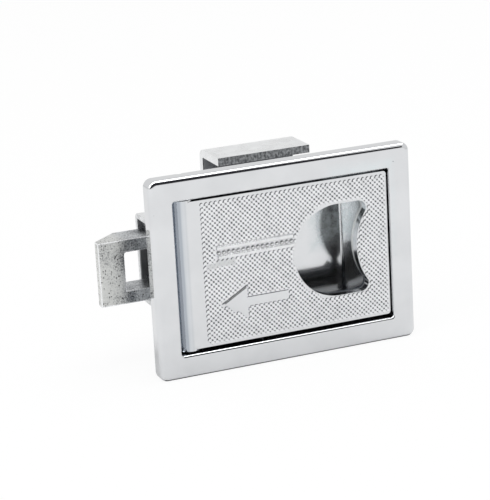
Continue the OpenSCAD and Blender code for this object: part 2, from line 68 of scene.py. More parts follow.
Socket = bpy.types.NodeSocket
Feed = Socket | float | tuple
Range = tuple[float, float]
Outline = Sequence[tuple[float, float]]
Faces = list[list[int]]
Shape = tuple[np.ndarray, Faces]
Swell = Callable[[np.ndarray, float, float], np.ndarray]
Colour = tuple[float, float, float]
Corner = tuple[float, float, float]
Box = tuple[Corner, Corner]

RISING: Range = (0.0, 1.0)
FALLING: Range = (1.0, 0.0)
QUARTERS = ((1, 0), (0, 1), (-1, 0), (0, -1))
SMOOTH_WIRE_DEG = 50.0
SMOOTH_SCREW_DEG = 32.0
WIRE_SIDES = 12
ASKEW = (0.31, 0.52, 0.79)
WELD_M = 1e-6
SOFT_EDGE_DEG = 35.0
SOFT_EDGE_SEGMENTS = 3
FLAT_FACE_WEIGHT = 100
FULL_EDGE_FRACTION = 0.4
TINY = 1e-9


class Body(Enum):
    """Bodies of the lock that new pieces ride on."""

    FIXED = "body"
    PULL = "pull"
    SCREW_TOP = "screw_top"
    SCREW_BOTTOM = "screw_bottom"


class Slot(Enum):
    """Names of material slots."""

    PADDLE = "chrome_paddle"
    SCREW = "bright_screw"
    WIRE = "spring_wire"


class Axis(Enum):
    """The frame's axes: across, into the cabinet and up."""

    X = 0
    Y = 1
    Z = 2


@dataclass(frozen=True)
class Mottle:
    """Cloudy noise in features per metre, and the part of its range that shows."""

    scale: float
    detail: float
    span: Range


@dataclass(frozen=True)
class Specks:
    """Small round specks in some of the cells of a pattern."""

    scale: float
    size: Range
    rare: Range


@dataclass(frozen=True)
class Grain:
    """Fine relief of a surface."""

    scale: float
    detail: float
    depth_mm: float


class NodeGraph:
    """A node tree, with short ways to add and join nodes."""

    def __init__(self, owner: "bpy.types.Material | bpy.types.World", output: str) -> None:
        """Empty the nodes of a material or world and give it an output.

        Args:
            owner: The material or world.
            output: Type name of the output node.
        """
        owner.use_nodes = True
        self.tree = owner.node_tree
        self.tree.nodes.clear()
        self.surface = self.add(output).inputs["Surface"]

    def add(
        self, kind: str, feeds: "dict[int | str, Feed] | None" = None, **settings: object
    ) -> bpy.types.Node:
        """Add a node.

        Args:
            kind: The node's type name.
            feeds: What goes into its inputs, by their names or places.
            settings: Properties to set on it.

        Returns:
            The new node.
        """
        node = self.tree.nodes.new(kind)
        for key, value in settings.items():
            setattr(node, key, value)
        for key, value in (feeds or {}).items():
            self.feed(node.inputs[key], value)
        return node

    def feed(self, target: Socket, value: Feed) -> None:
        """Link a socket to an input, or set the input.

        Args:
            target: The input.
            value: The socket to link, or the number, vector or colour to set.
        """
        if isinstance(value, Socket):
            self.tree.links.new(value, target)
        elif target.type == "RGBA":
            target.default_value = (*value, 1.0)
        else:
            target.default_value = value

    def maths(self, operation: str, a: Feed, b: Feed = 0.0) -> Socket:
        """Work out an arithmetic operation."""
        return self.add("ShaderNodeMath", {0: a, 1: b}, operation=operation).outputs[0]

    def times(self, a: Feed, b: Feed) -> Socket:
        """Multiply two values."""
        return self.maths("MULTIPLY", a, b)

    def plus(self, a: Feed, b: Feed) -> Socket:
        """Add two values."""
        return self.maths("ADD", a, b)

    def less(self, a: Feed, b: Feed) -> Socket:
        """Take the second value from the first."""
        return self.maths("SUBTRACT", a, b)

    def weighed(self, a: Socket, b: Socket, share: float) -> Socket:
        """Add a share of one value and the rest of another."""
        return self.plus(self.times(a, share), self.times(b, 1.0 - share))

    def blend(self, share: Feed, a: Feed, b: Feed, kind: str = "MIX") -> Socket:
        """Mix a share of the second colour into the first."""
        feeds = {"Factor": share, 6: a, 7: b}
        return self.add("ShaderNodeMix", feeds, data_type="RGBA", blend_type=kind).outputs[2]

    def spread(self, value: Socket, span: Range, out: Range = RISING) -> Socket:
        """Map a value from one range to another, clamped at both ends."""
        feeds = dict(zip(("From Min", "From Max", "To Min", "To Max"), (*span, *out)))
        return self.add("ShaderNodeMapRange", {"Value": value, **feeds}, clamp=True).outputs["Result"]

    def place(self) -> Socket:
        """Return the point's place in the piece's own frame."""
        return self.add("ShaderNodeTexCoord").outputs["Object"]

    def stretched(self, scale: Corner) -> Socket:
        """Return the point's place with each axis scaled."""
        return self.add("ShaderNodeMapping", {"Vector": self.place(), "Scale": scale}).outputs["Vector"]

    def axis(self, vector: Socket, axis: Axis) -> Socket:
        """Return one axis of a vector."""
        return self.add("ShaderNodeSeparateXYZ", {0: vector}).outputs[axis.value]

    def along(self, axis: Axis, span_mm: Range, out: Range = RISING) -> Socket:
        """Map the place along an axis, in millimetres, to a range."""
        span = (span_mm[0] * MM, span_mm[1] * MM)
        return self.spread(self.axis(self.place(), axis), span, out)

    def noise(self, scale: float, detail: float, where: "Socket | None" = None) -> Socket:
        """Add cloudy noise, read at the point's own place unless another is given."""
        feeds = {"Vector": self.place() if where is None else where, "Scale": scale, "Detail": detail}
        return self.add("ShaderNodeTexNoise", feeds).outputs["Fac"]

    def mottle(self, pattern: Mottle, out: Range = RISING) -> Socket:
        """Return cloudy noise spread over a range."""
        return self.spread(self.noise(pattern.scale, pattern.detail), pattern.span, out)

    def cells(self, scale: float, output: str) -> Socket:
        """Add a cell pattern and return one of its outputs."""
        feeds = {"Vector": self.place(), "Scale": scale}
        return self.add("ShaderNodeTexVoronoi", feeds).outputs[output]

    def cell_tone(self, scale: float) -> Socket:
        """Return a random tone for each cell of a pattern."""
        return self.axis(self.cells(scale, "Color"), Axis.X)

    def specks(self, pattern: Specks) -> Socket:
        """Return 1 in small round specks and 0 between them."""
        speck = self.spread(self.cells(pattern.scale, "Distance"), pattern.size, FALLING)
        return self.times(speck, self.spread(self.cell_tone(pattern.scale), pattern.rare))

    def beyond(self, box: Box) -> list[Socket]:
        """Return how far the point lies beyond a box's sides.

        Args:
            box: Two corners in the piece's frame, in millimetres.

        Returns:
            The distance along each axis in metres, negative inside the box.
        """
        low, high = (np.array(corner) * MM for corner in box)
        spot = self.place()
        for operation, value in (
            ("SUBTRACT", (low + high) / 2), ("ABSOLUTE", np.zeros(3)), ("SUBTRACT", (high - low) / 2),
        ):
            feeds = {0: spot, 1: tuple(value)}
            spot = self.add("ShaderNodeVectorMath", feeds, operation=operation).outputs[0]
        return [self.axis(spot, axis) for axis in Axis]

    def within(self, box: Box, soft_mm: float) -> Socket:
        """Find what lies in a box.

        Args:
            box: Two corners in the piece's frame, in millimetres.
            soft_mm: Width of the fade inside the box's sides.

        Returns:
            1 inside the box, fading to 0 at its sides.
        """
        x, y, z = self.beyond(box)
        farthest = self.maths("MAXIMUM", self.maths("MAXIMUM", x, y), z)
        return self.spread(farthest, (-soft_mm * MM, 0.0), FALLING)

    def near_edges(self, box: Box, reach_mm: float) -> Socket:
        """Find what lies along the edges of a box.

        Args:
            box: Two corners in the piece's frame, in millimetres.
            reach_mm: Distance of the fade from the edges.

        Returns:
            1 along the edges, fading to 0 away from them.
        """
        x, y, z = self.beyond(box)
        middle = self.maths("MINIMUM", self.maths("MAXIMUM", x, y), z)
        middle = self.maths("MAXIMUM", self.maths("MINIMUM", x, y), middle)
        return self.spread(middle, (-reach_mm * MM, -FULL_EDGE_FRACTION * reach_mm * MM))

    def rim_of(self, hole: Box, reach_mm: float) -> Socket:
        """Find what lies at the mouth of a square hole through Y.

        Args:
            hole: Two corners of the hole in the piece's frame, in millimetres.
            reach_mm: Distance of the fade from the mouth.

        Returns:
            1 at the mouth, fading to 0 away from it.
        """
        x, y, z = self.beyond(hole)
        side = self.maths("ABSOLUTE", self.maths("MAXIMUM", x, z))
        away = self.maths("MAXIMUM", side, self.maths("ABSOLUTE", y))
        return self.spread(away, (FULL_EDGE_FRACTION * reach_mm * MM, reach_mm * MM), FALLING)

    def facing(self, axis: Axis, span: Range) -> Socket:
        """Find what faces along an axis, either way.

        Args:
            axis: The axis.
            span: How squarely it faces where the share starts, and where it is full.

        Returns:
            The share, from 0 to 1.
        """
        normal = self.add("ShaderNodeNewGeometry").outputs["True Normal"]
        local = self.add(
            "ShaderNodeVectorTransform", {0: normal},
            vector_type="NORMAL", convert_from="WORLD", convert_to="OBJECT",
        )
        return self.spread(self.maths("ABSOLUTE", self.axis(local.outputs[0], axis)), span)

    def relief(self, height: Socket, depth_mm: float, under: "Socket | None" = None) -> Socket:
        """Turn a height into a bumped normal.

        Args:
            height: The height, from 0 to 1.
            depth_mm: The real depth that 1 stands for.
            under: A normal to add to, or None.

        Returns:
            The bumped normal.
        """
        feeds = {"Strength": 1.0, "Distance": depth_mm * MM, "Height": height}
        if under is not None:
            feeds["Normal"] = under
        return self.add("ShaderNodeBump", feeds).outputs["Normal"]

    def grain(self, pattern: Grain) -> Socket:
        """Return the bumped normal of a fine grain."""
        return self.relief(self.noise(pattern.scale, pattern.detail), pattern.depth_mm)


class MetalGraph(NodeGraph):
    """The nodes of a material with one metal shader."""

    def __init__(self, name: str) -> None:
        """Start a material.

        Args:
            name: The material's name.
        """
        self.material = bpy.data.materials.new(name)
        super().__init__(self.material, "ShaderNodeOutputMaterial")
        self.shader = self.add("ShaderNodeBsdfPrincipled", {"Metallic": 1.0})
        self.feed(self.surface, self.shader.outputs["BSDF"])

    def wire_up(self, **inputs: Socket) -> bpy.types.Material:
        """Join values to the shader.

        Args:
            inputs: The values by the shader's inputs, with spaces written as underscores.

        Returns:
            The finished material.
        """
        for key, socket in inputs.items():
            self.feed(self.shader.inputs[key.replace("_", " ")], socket)
        return self.material


@dataclass(frozen=True)
class PaintedEdgeReflection:
    """Painted reflection across a rolled edge: streaky bands of tint, by their places along X in
    millimetres.
    """

    stops: tuple[tuple[float, Colour], ...]
    streaks: Corner = (900.0, 900.0, 60.0)
    streak_detail: float = 3.0
    streak_span: Range = (0.2, 0.8)
    waver_mm: float = 0.15

    def tint(self, g: NodeGraph, colour: Socket) -> Socket:
        """Tint a colour in bands of painted reflection.

        Args:
            g: The material's nodes.
            colour: The colour to tint.

        Returns:
            The tinted colour.
        """
        first, last = self.stops[0][0], self.stops[-1][0]
        streak = g.noise(1.0, self.streak_detail, g.stretched(self.streaks))
        waver = g.spread(streak, self.streak_span, (-self.waver_mm * MM, self.waver_mm * MM))
        across = g.plus(g.axis(g.place(), Axis.X), waver)
        ramp = g.add("ShaderNodeValToRGB", {"Fac": g.spread(across, (first * MM, last * MM))})
        marks = ramp.color_ramp.elements
        marks.remove(marks[0])
        for k, (x, tint) in enumerate(self.stops):
            spot = (x - first) / (last - first)
            mark = marks[0] if k == 0 else marks.new(spot)
            mark.position, mark.color = spot, (*tint, 1.0)
        return g.blend(1.0, colour, ramp.outputs["Color"], "MULTIPLY")


@dataclass(frozen=True)
class PanTarnishAndLight:
    """Marks in the finger pan: a painted highlight on the side walls, tarnish, painted shade in a
    corner and a painted highlight low in the pan.
    """

    leaning: Range = (0.5, 0.9)
    square: Range = (0.9, 0.98)
    # Painted highlight: near-white colour on the pan's side walls.
    wall_highlight: Colour = (0.97, 0.975, 0.98)
    stain: Box = ((15.0, -10.0, -5.0), (40.0, 20.0, 30.0))
    stain_fade: float = 6.0
    stain_metal: float = 0.6
    blotch: Mottle = Mottle(420.0, 6.0, (0.38, 0.62))
    blotch_share: Range = (0.45, 1.0)
    tarnish: Colour = (0.67, 0.74, 0.76)
    # Painted shade in the pan's fillet corner, darker towards the bottom.
    corner: Box = ((27.1, 11.7, -30.0), (28.3, 13.3, 0.0))
    corner_fade: float = 0.3
    corner_z: Range = (-9.0, -5.0)
    dark_fill: Colour = (0.06, 0.065, 0.072)
    # Painted highlight low in the pan: a pale, less metallic patch.
    low_highlight: Box = ((15.5, 11.0, -20.5), (26.0, 14.5, -16.2))
    low_highlight_fade: float = 1.0
    low_highlight_metal: float = 0.5
    highlight_tint: Colour = (0.88, 0.90, 0.92)

    def wall(self, g: NodeGraph, shown: Socket, colour: Socket) -> Socket:
        """Paint a highlight on the pan's side walls, given the share of the surface that is the pan."""
        return g.blend(g.times(shown, g.facing(Axis.X, self.leaning)), colour, self.wall_highlight)

    def marks(self, g: NodeGraph, colour: Socket, metal: Socket) -> tuple[Socket, Socket]:
        """Lay tarnish on the pan's floor, painted shade in its corner and a painted highlight low in
        the pan.

        Args:
            g: The material's nodes.
            colour: The colour so far.
            metal: The share of bare metal so far.

        Returns:
            The new colour and share.
        """
        blotched = g.times(g.facing(Axis.Y, self.leaning), g.mottle(self.blotch, self.blotch_share))
        stained = g.times(g.within(self.stain, self.stain_fade), blotched)
        # Painted shade in the corner, fading out towards the top.
        shaded_corner = g.times(
            g.within(self.corner, self.corner_fade), g.along(Axis.Z, self.corner_z, FALLING)
        )
        # Painted highlight low in the pan.
        highlighted = g.within(self.low_highlight, self.low_highlight_fade)
        colour = g.blend(g.times(stained, g.facing(Axis.Y, self.square)), colour, self.tarnish)
        colour = g.blend(highlighted, g.blend(shaded_corner, colour, self.dark_fill), self.highlight_tint)
        for share, kept in ((stained, self.stain_metal), (highlighted, self.low_highlight_metal)):
            metal = g.less(metal, g.times(share, 1.0 - kept))
        return colour, metal


@dataclass(frozen=True)
class ChromeFinish:
    """Chrome on a casting: polished where it shows, rougher and painted dark as shade in recesses, and
    raw behind.
    """

    name: str
    polished: Box
    recess: Box
    polished_fade: float = 0.05
    recess_fade: float = 0.5
    plated_to_raw_y: Range = (1.0, 9.0)
    clear: Colour = (0.715, 0.725, 0.74)
    hazy: Colour = (0.665, 0.675, 0.69)
    haze: Mottle = Mottle(90.0, 6.0, (0.35, 0.7))
    # Recess colour: on the casting a painted shade; the plate gives its back's colour here.
    dull: Colour = (0.13, 0.135, 0.15)
    # Painted shade: the recess colour darkens towards the bottom.
    low_shade: Colour = (0.045, 0.054, 0.066)
    low_shade_z: "Range | None" = None
    raw: Colour = (0.50, 0.51, 0.52)
    pocks: Specks = Specks(230.0, (0.028, 0.05), (0.93, 0.94))
    pock: Colour = (0.10, 0.10, 0.11)
    smear: Mottle = Mottle(260.0, 5.0, (0.3, 0.75))
    gloss: Range = (0.02, 0.06)
    raw_gloss: float = 0.34
    dull_gloss: float = 0.20
    pan_gloss: float = 0.08
    dull_metal: float = 1.0
    pan_metal: float = 0.98
    ripple: Grain = Grain(45.0, 1.0, 0.012)
    sand: Grain = Grain(2600.0, 3.0, 0.03)
    # Painted reflection in bands across the paddle's rolled edge.
    edge_reflection: "PaintedEdgeReflection | None" = None
    # Tarnish in the pan, with painted highlights and painted shade.
    wear: "PanTarnishAndLight | None" = None

    def material(self) -> bpy.types.Material:
        """Build the material's nodes.

        Returns:
            The material.
        """
        g = MetalGraph(self.name)
        shown = g.within(self.polished, self.polished_fade)
        covered = g.less(1.0, shown)
        rough_cast = g.times(g.along(Axis.Y, self.plated_to_raw_y), covered)
        hidden = g.times(g.within(self.recess, self.recess_fade), covered)
        plated = g.blend(g.mottle(self.haze), self.clear, self.hazy)
        # Paint the rolled edge's reflection into the plated colour.
        if self.edge_reflection is not None:
            plated = self.edge_reflection.tint(g, plated)
        if self.wear is not None:
            # Painted highlight on the pan's side walls.
            plated = self.wear.wall(g, shown, plated)
        dull: Feed = self.dull
        # Painted shade, darker towards the bottom.
        if self.low_shade_z is not None:
            dull = g.blend(g.along(Axis.Z, self.low_shade_z, FALLING), self.dull, self.low_shade)
        # Recesses take the recess colour: painted shade on the casting.
        colour = g.blend(hidden, g.blend(rough_cast, plated, self.raw), dull)
        colour = g.blend(g.specks(self.pocks), colour, self.pock)
        rough = g.mottle(self.smear, self.gloss)
        for share, more in (
            (rough_cast, self.raw_gloss), (hidden, self.dull_gloss), (shown, self.pan_gloss)
        ):
            rough = g.plus(rough, g.times(share, more))
        metal: Feed = 1.0
        for share, kept in ((hidden, self.dull_metal), (shown, self.pan_metal)):
            metal = g.less(metal, g.times(share, 1.0 - kept))
        # Tarnish, painted corner shade and a painted highlight low in the pan.
        if self.wear is not None:
            colour, metal = self.wear.marks(g, colour, metal)
        sand = g.times(g.noise(self.sand.scale, self.sand.detail), rough_cast)
        normal = g.relief(sand, self.sand.depth_mm, g.grain(self.ripple))
        return g.wire_up(Base_Color=colour, Metallic=metal, Roughness=rough, Normal=normal)


@dataclass(frozen=True)
class KnurlFinish:
    """Chrome on the cast diamonds, darker in the grooves by height: partly dirt, partly painted shade.
    """

    name: str = "chrome_knurl"
    crest: Colour = (0.80, 0.81, 0.825)
    # Groove colours, darkest lowest: partly dirt, partly painted shade.
    groove: Colour = (0.08, 0.084, 0.092)
    filled_and_shaded: Colour = (0.34, 0.345, 0.355)
    rubbed: Colour = (0.60, 0.61, 0.62)
    spots: tuple[Box, ...] = (
        ((-27.2, -6.0, 1.0), (-23.2, 0.0, 3.6)), ((-24.0, -6.0, 1.3), (-16.6, 0.0, 4.5))
    )
    spot_fade: float = 0.8
    groove_to_crest_y: Range = (-3.33, -3.50)
    wear: Mottle = Mottle(420.0, 4.0, (0.25, 0.6))
    wear_share: Range = (0.82, 1.0)
    settling: Mottle = Mottle(520.0, 3.0, (0.40, 0.60))
    smear: Mottle = Mottle(1400.0, 4.0, (0.3, 0.75))
    gloss: Range = (0.05, 0.16)
    skin: Grain = Grain(2400.0, 2.0, 0.008)

    def material(self) -> bpy.types.Material:
        """Build the material's nodes.

        Returns:
            The material.
        """
        g = MetalGraph(self.name)
        height = g.along(Axis.Y, self.groove_to_crest_y)
        # Darker low down by height: partly dirt, partly painted shade in the grooves.
        dark_fill = g.blend(g.mottle(self.settling), self.groove, self.filled_and_shaded)
        crest_share = g.times(height, g.mottle(self.wear, self.wear_share))
        colour = g.blend(crest_share, dark_fill, self.crest)
        for spot in self.spots:
            colour = g.blend(g.within(spot, self.spot_fade), colour, self.rubbed)
        rough = g.mottle(self.smear, self.gloss)
        return g.wire_up(Base_Color=colour, Roughness=rough, Normal=g.grain(self.skin))


@dataclass(frozen=True)
class ZincFinish:
    """Blotchy zinc plate on a rough casting, with pits, a paler tip and bright edges: partly wear,
    partly painted highlight.
    """

    name: str = "zinc_blotchy"
    nose: Box = ((-57.1, 12.9, -10.6), (-30.0, 22.9, 10.6))
    nose_wear_highlight: float = 0.46
    window: Box = ((-48.5, 12.9, -6.5), (-30.55, 22.9, 6.5))
    window_wear_highlight: float = 0.3
    cloud: Grain = Grain(120.0, 7.0, 0.14)
    grit: Grain = Grain(1700.0, 5.0, 0.06)
    cloud_share: float = 0.5
    dark: Colour = (0.142, 0.151, 0.165)
    light: Colour = (0.60, 0.617, 0.63)
    dark_to_light: Range = (0.43, 0.58)
    tip: Colour = (0.74, 0.745, 0.72)
    tip_x: Range = (-50.5, -47.0)
    tip_share: float = 0.75
    tip_tone: Range = (0.36, 0.54)
    tip_blotch: Range = (0.3, 1.0)
    pits: Specks = Specks(1400.0, (0.18, 0.42), (0.60, 0.85))
    pit: Colour = (0.05, 0.05, 0.05)
    pit_depth: float = -0.05
    # Bright edge colour: partly wear, partly painted highlight.
    edge: Colour = (0.88, 0.89, 0.90)
    edge_tone: Range = (0.3, 0.6)
    edge_share: Range = (0.8, 1.0)
    edge_gloss: float = 0.1
    gloss_tone: Range = (0.35, 0.65)
    gloss: Range = (0.22, 0.42)

    def material(self) -> bpy.types.Material:
        """Build the material's nodes.

        Returns:
            The material.
        """
        g = MetalGraph(self.name)
        cloud = g.noise(self.cloud.scale, self.cloud.detail)
        grit = g.noise(self.grit.scale, self.grit.detail)
        tone = g.weighed(cloud, grit, self.cloud_share)
        cast = g.blend(g.spread(tone, self.dark_to_light), self.dark, self.light)
        pale = g.along(Axis.X, self.tip_x, (self.tip_share, 0.0))
        pale = g.times(pale, g.spread(tone, self.tip_tone, self.tip_blotch))
        pits = g.specks(self.pits)
        cast = g.blend(pits, g.blend(pale, cast, self.tip), self.pit)
        # Bright edges: partly wear, partly painted highlight.
        edges = g.near_edges(self.nose, self.nose_wear_highlight)
        edges = g.maths("MAXIMUM", edges, g.rim_of(self.window, self.window_wear_highlight))
        worn = g.times(edges, g.spread(cloud, self.edge_tone, self.edge_share))
        colour = g.blend(worn, cast, self.edge)
        rough = g.spread(tone, self.gloss_tone, self.gloss)
        rough = g.less(rough, g.times(worn, self.edge_gloss))
        normal = g.relief(cloud, self.cloud.depth_mm)
        normal = g.relief(g.times(grit, g.less(1.0, worn)), self.grit.depth_mm, normal)
        normal = g.relief(pits, self.pit_depth, normal)
        return g.wire_up(Base_Color=colour, Roughness=rough, Normal=normal)


@dataclass(frozen=True)
class GalvanisedFinish:
    """Galvanised sheet with a soft spangle, rough sheared edges and a dark inside."""

    name: str
    cut: Axis
    sheared: Box
    inside: Box
    torn: Colour
    bare: Colour
    shade: Colour
    light: Colour = (0.86, 0.87, 0.875)
    dull: Colour = (0.75, 0.76, 0.765)
    dull_to_light: Range = (0.25, 0.7)
    spangle: float = 420.0
    spangle_share: float = 0.3
    cloud: tuple[float, float] = (160.0, 6.0)
    cut_facing: Range = (0.8, 0.95)
    cut_share: float = 0.95
    fade: float = 0.2
    tears: Corner = (1300.0, 1300.0, 900.0)
    tear_detail: float = 5.0
    tear_depth: float = 0.25
    torn_to_bare: Range = (0.40, 0.62)
    inside_metal: float = 0.3
    gloss_tone: Range = (0.2, 0.8)
    gloss: Range = (0.22, 0.36)
    cut_gloss: float = 0.2
    rolling: Corner = (300.0, 900.0, 900.0)
    rolling_detail: float = 3.0
    rolling_depth: float = 0.006

    def material(self) -> bpy.types.Material:
        """Build the material's nodes.

        Returns:
            The material.
        """
        g = MetalGraph(self.name)
        tone = g.weighed(g.cell_tone(self.spangle), g.noise(*self.cloud), self.spangle_share)
        sheet = g.blend(g.spread(tone, self.dull_to_light), self.dull, self.light)
        sheared = g.times(g.facing(self.cut, self.cut_facing), g.within(self.sheared, self.fade))
        tear = g.noise(1.0, self.tear_detail, g.stretched(self.tears))
        ragged = g.blend(g.spread(tear, self.torn_to_bare), self.torn, self.bare)
        inside = g.within(self.inside, self.fade)
        colour = g.blend(g.times(sheared, self.cut_share), sheet, ragged)
        colour = g.blend(inside, colour, self.shade)
        metal = g.less(1.0, g.times(inside, 1.0 - self.inside_metal))
        rough = g.spread(tone, self.gloss_tone, self.gloss)
        rough = g.plus(rough, g.times(sheared, self.cut_gloss))
        rolling = g.noise(1.0, self.rolling_detail, g.stretched(self.rolling))
        normal = g.relief(rolling, self.rolling_depth)
        normal = g.relief(g.times(tear, sheared), self.tear_depth, normal)
        return g.wire_up(Base_Color=colour, Metallic=metal, Roughness=rough, Normal=normal)


@dataclass(frozen=True)
class SteelFinish:
    """Plain steel: plated screws, a ground pin or drawn wire, by its marks and colour."""

    name: str
    light: Colour
    dark: Colour
    gloss: Range
    marks: Corner
    mark_detail: float = 4.0
    mark_depth: float = 0.006
    cloud: tuple[float, float] = (420.0, 5.0)
    cloud_share: float = 0.5
    dark_to_light: Range = (0.35, 0.65)
    gloss_tone: Range = (0.3, 0.7)

    def material(self) -> bpy.types.Material:
        """Build the material's nodes.

        Returns:
            The material.
        """
        g = MetalGraph(self.name)
        lines = g.noise(1.0, self.mark_detail, g.stretched(self.marks))
        tone = g.weighed(g.noise(*self.cloud), lines, self.cloud_share)
        colour = g.blend(g.spread(tone, self.dark_to_light), self.dark, self.light)
        rough = g.spread(tone, self.gloss_tone, self.gloss)
        normal = g.relief(lines, self.mark_depth)
        return g.wire_up(Base_Color=colour, Roughness=rough, Normal=normal)


@dataclass(frozen=True)
class Finishes:
    """Every finish on the lock, made once."""

    casting: bpy.types.Material
    plate: bpy.types.Material
    knurl: bpy.types.Material
    beads: bpy.types.Material
    zinc: bpy.types.Material
    strap_sheet: bpy.types.Material
    guide_sheet: bpy.types.Material
    screw: bpy.types.Material
    pin: bpy.types.Material
    wire: bpy.types.Material

    @classmethod
    def make(cls) -> "Finishes":
        """Build the material of each finish.

        Returns:
            The finishes.
        """
        finishes = {
            "casting": ChromeFinish(
                "chrome_casting",
                polished=((-4.3, -6.0, -18.5), (30.7, 13.4, 18.5)),
                recess=((-36.9, -4.0, -25.7), (37.7, 9.0, 25.7)),
                wear=PanTarnishAndLight(),
            ),
            "plate": ChromeFinish(
                "chrome_plate",
                polished=((-40.0, -6.0, -30.0), (40.0, -0.6, 30.0)),
                recess=((-40.0, -0.6, -30.0), (40.0, 24.0, 30.0)),
                dull=(0.78, 0.80, 0.80),
                # Painted shade on the paddle's back, darker towards the bottom.
                low_shade_z=(-10.0, 3.0),
                dull_gloss=0.30, dull_metal=0.0, pan_gloss=0.0, pan_metal=1.0,
                # Painted reflection across the rolled edge, in bands along X.
                edge_reflection=PaintedEdgeReflection((
                    (-37.0, (0.50, 0.54, 0.60)), (-34.4, (0.60, 0.635, 0.68)),
                    (-34.0, (0.85, 0.875, 0.90)), (-33.3, (0.92, 0.935, 0.95)),
                    (-32.8, (0.87, 0.885, 0.90)), (-32.2, (1.0, 1.0, 1.0)),
                )),
            ),
            "knurl": KnurlFinish(),
            "beads": KnurlFinish(
                "chrome_beads",
                # Darker low down by height: partly dirt, partly painted shade round the beads' feet.
                crest=(0.78, 0.79, 0.80), groove=(0.08, 0.083, 0.09), filled_and_shaded=(0.24, 0.244, 0.25),
                spots=(), groove_to_crest_y=(-3.50, -3.80),
            ),
            "zinc": ZincFinish(),
            "strap_sheet": GalvanisedFinish(
                "galvanised_strap",
                Axis.Y,
                sheared=((-20.0, 10.0, -40.0), (20.0, 13.0, 40.0)),
                inside=((-14.8, 12.2, -31.2), (16.6, 26.6, 31.2)),
                torn=(0.18, 0.185, 0.19), bare=(0.62, 0.63, 0.64), shade=(0.40, 0.41, 0.43),
            ),
            "guide_sheet": GalvanisedFinish(
                "galvanised_guide",
                Axis.X,
                sheared=((-60.0, 0.0, -40.0), (0.0, 40.0, 40.0)),
                inside=((-38.4, 12.0, -13.6), (-17.0, 27.2, 13.6)),
                torn=(0.60, 0.61, 0.62), bare=(0.84, 0.85, 0.86), shade=(0.15, 0.153, 0.16),
            ),
            "screw": SteelFinish(
                "zinc_bright",
                light=(0.72, 0.73, 0.75), dark=(0.55, 0.56, 0.58),
                gloss=(0.16, 0.30), marks=(900.0, 900.0, 900.0),
            ),
            "pin": SteelFinish(
                "steel_ground",
                light=(0.62, 0.62, 0.64), dark=(0.46, 0.46, 0.48),
                gloss=(0.14, 0.28), marks=(300.0, 300.0, 6000.0),
            ),
            "wire": SteelFinish(
                "wire_drawn",
                light=(0.42, 0.42, 0.44), dark=(0.20, 0.20, 0.22),
                gloss=(0.24, 0.42), marks=(700.0, 2200.0, 2200.0),
            ),
        }
        return cls(**{name: finish.material() for name, finish in finishes.items()})


def new_piece(name: str, shape: Shape, smooth_deg: "float | None" = None) -> bpy.types.Object:
    """Make a mesh object from points in millimetres.

    Args:
        name: The piece's name.
        shape: Its points and faces.
        smooth_deg: Edges flatter than this are shaded smooth, or None for flat faces.

    Returns:
        The new object, in the scene.
    """
    points, faces = shape
    mesh = bpy.data.meshes.new(name)
    mesh.from_pydata((np.asarray(points) * MM).tolist(), [], faces)
    bm = bmesh.new()
    bm.from_mesh(mesh)
    bmesh.ops.recalc_face_normals(bm, faces=bm.faces)
    bm.to_mesh(mesh)
    bm.free()
    if smooth_deg is not None:
        mesh.polygons.foreach_set("use_smooth", [True] * len(mesh.polygons))
        mesh.set_sharp_from_angle(angle=math.radians(smooth_deg))
    piece = bpy.data.objects.new(name, mesh)
    bpy.context.scene.collection.objects.link(piece)
    return piece


def coat(piece: bpy.types.Object, finish: bpy.types.Material) -> None:
    """Give a piece one finish."""
    piece.data.materials.clear()
    piece.data.materials.append(finish)


def fit(piece: bpy.types.Object, body: Body, finish: bpy.types.Material) -> None:
    """Give a new piece its finish and its body, and report it.

    Args:
        piece: The new piece.
        body: The body that it rides on.
        finish: The material to put on it.
    """
    coat(piece, finish)
    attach(piece, body.value)
    LOG.info("%s: %d faces on %s", piece.name, len(piece.data.polygons), body.value)


def dress(node: str, finish: bpy.types.Material) -> bpy.types.Object:
    """Give a node of the frame its finish.

    Args:
        node: The node's name.
        finish: The material to put on it.

    Returns:
        The node's object.
    """
    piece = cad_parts[node]
    coat(piece, finish)
    LOG.info("%s: dressed with %s", node, finish.name)
    return piece


def soften(piece: bpy.types.Object, width_mm: float) -> None:
    """Round a piece's sharp edges with modifiers.

    Args:
        piece: The object to round.
        width_mm: Width of the rounding.
    """
    weld = piece.modifiers.new("weld", "WELD")
    weld.merge_threshold = WELD_M
    bevel = piece.modifiers.new("soft_edges", "BEVEL")
    bevel.width = width_mm * MM
    bevel.segments = SOFT_EDGE_SEGMENTS
    bevel.limit_method = "ANGLE"
    bevel.angle_limit = math.radians(SOFT_EDGE_DEG)
    bevel.miter_outer = "MITER_ARC"
    bevel.use_clamp_overlap = True
    normals = piece.modifiers.new("flat_faces", "WEIGHTED_NORMAL")
    normals.weight = FLAT_FACE_WEIGHT
    normals.keep_sharp = False


def joined(shapes: Sequence[Shape]) -> Shape:
    """Put several shapes into one, each still closed by itself.

    Args:
        shapes: The shapes.

    Returns:
        The points and faces of them all.
    """
    points, faces, start = [], [], 0
    for some, made in shapes:
        points.append(np.asarray(some, float))
        faces.extend([[i + start for i in face] for face in made])
        start += len(some)
    return np.vstack(points), faces


def moved(shape: Shape, by: Corner) -> Shape:
    """Shift a shape."""
    return np.asarray(shape[0], float) + np.array(by), shape[1]


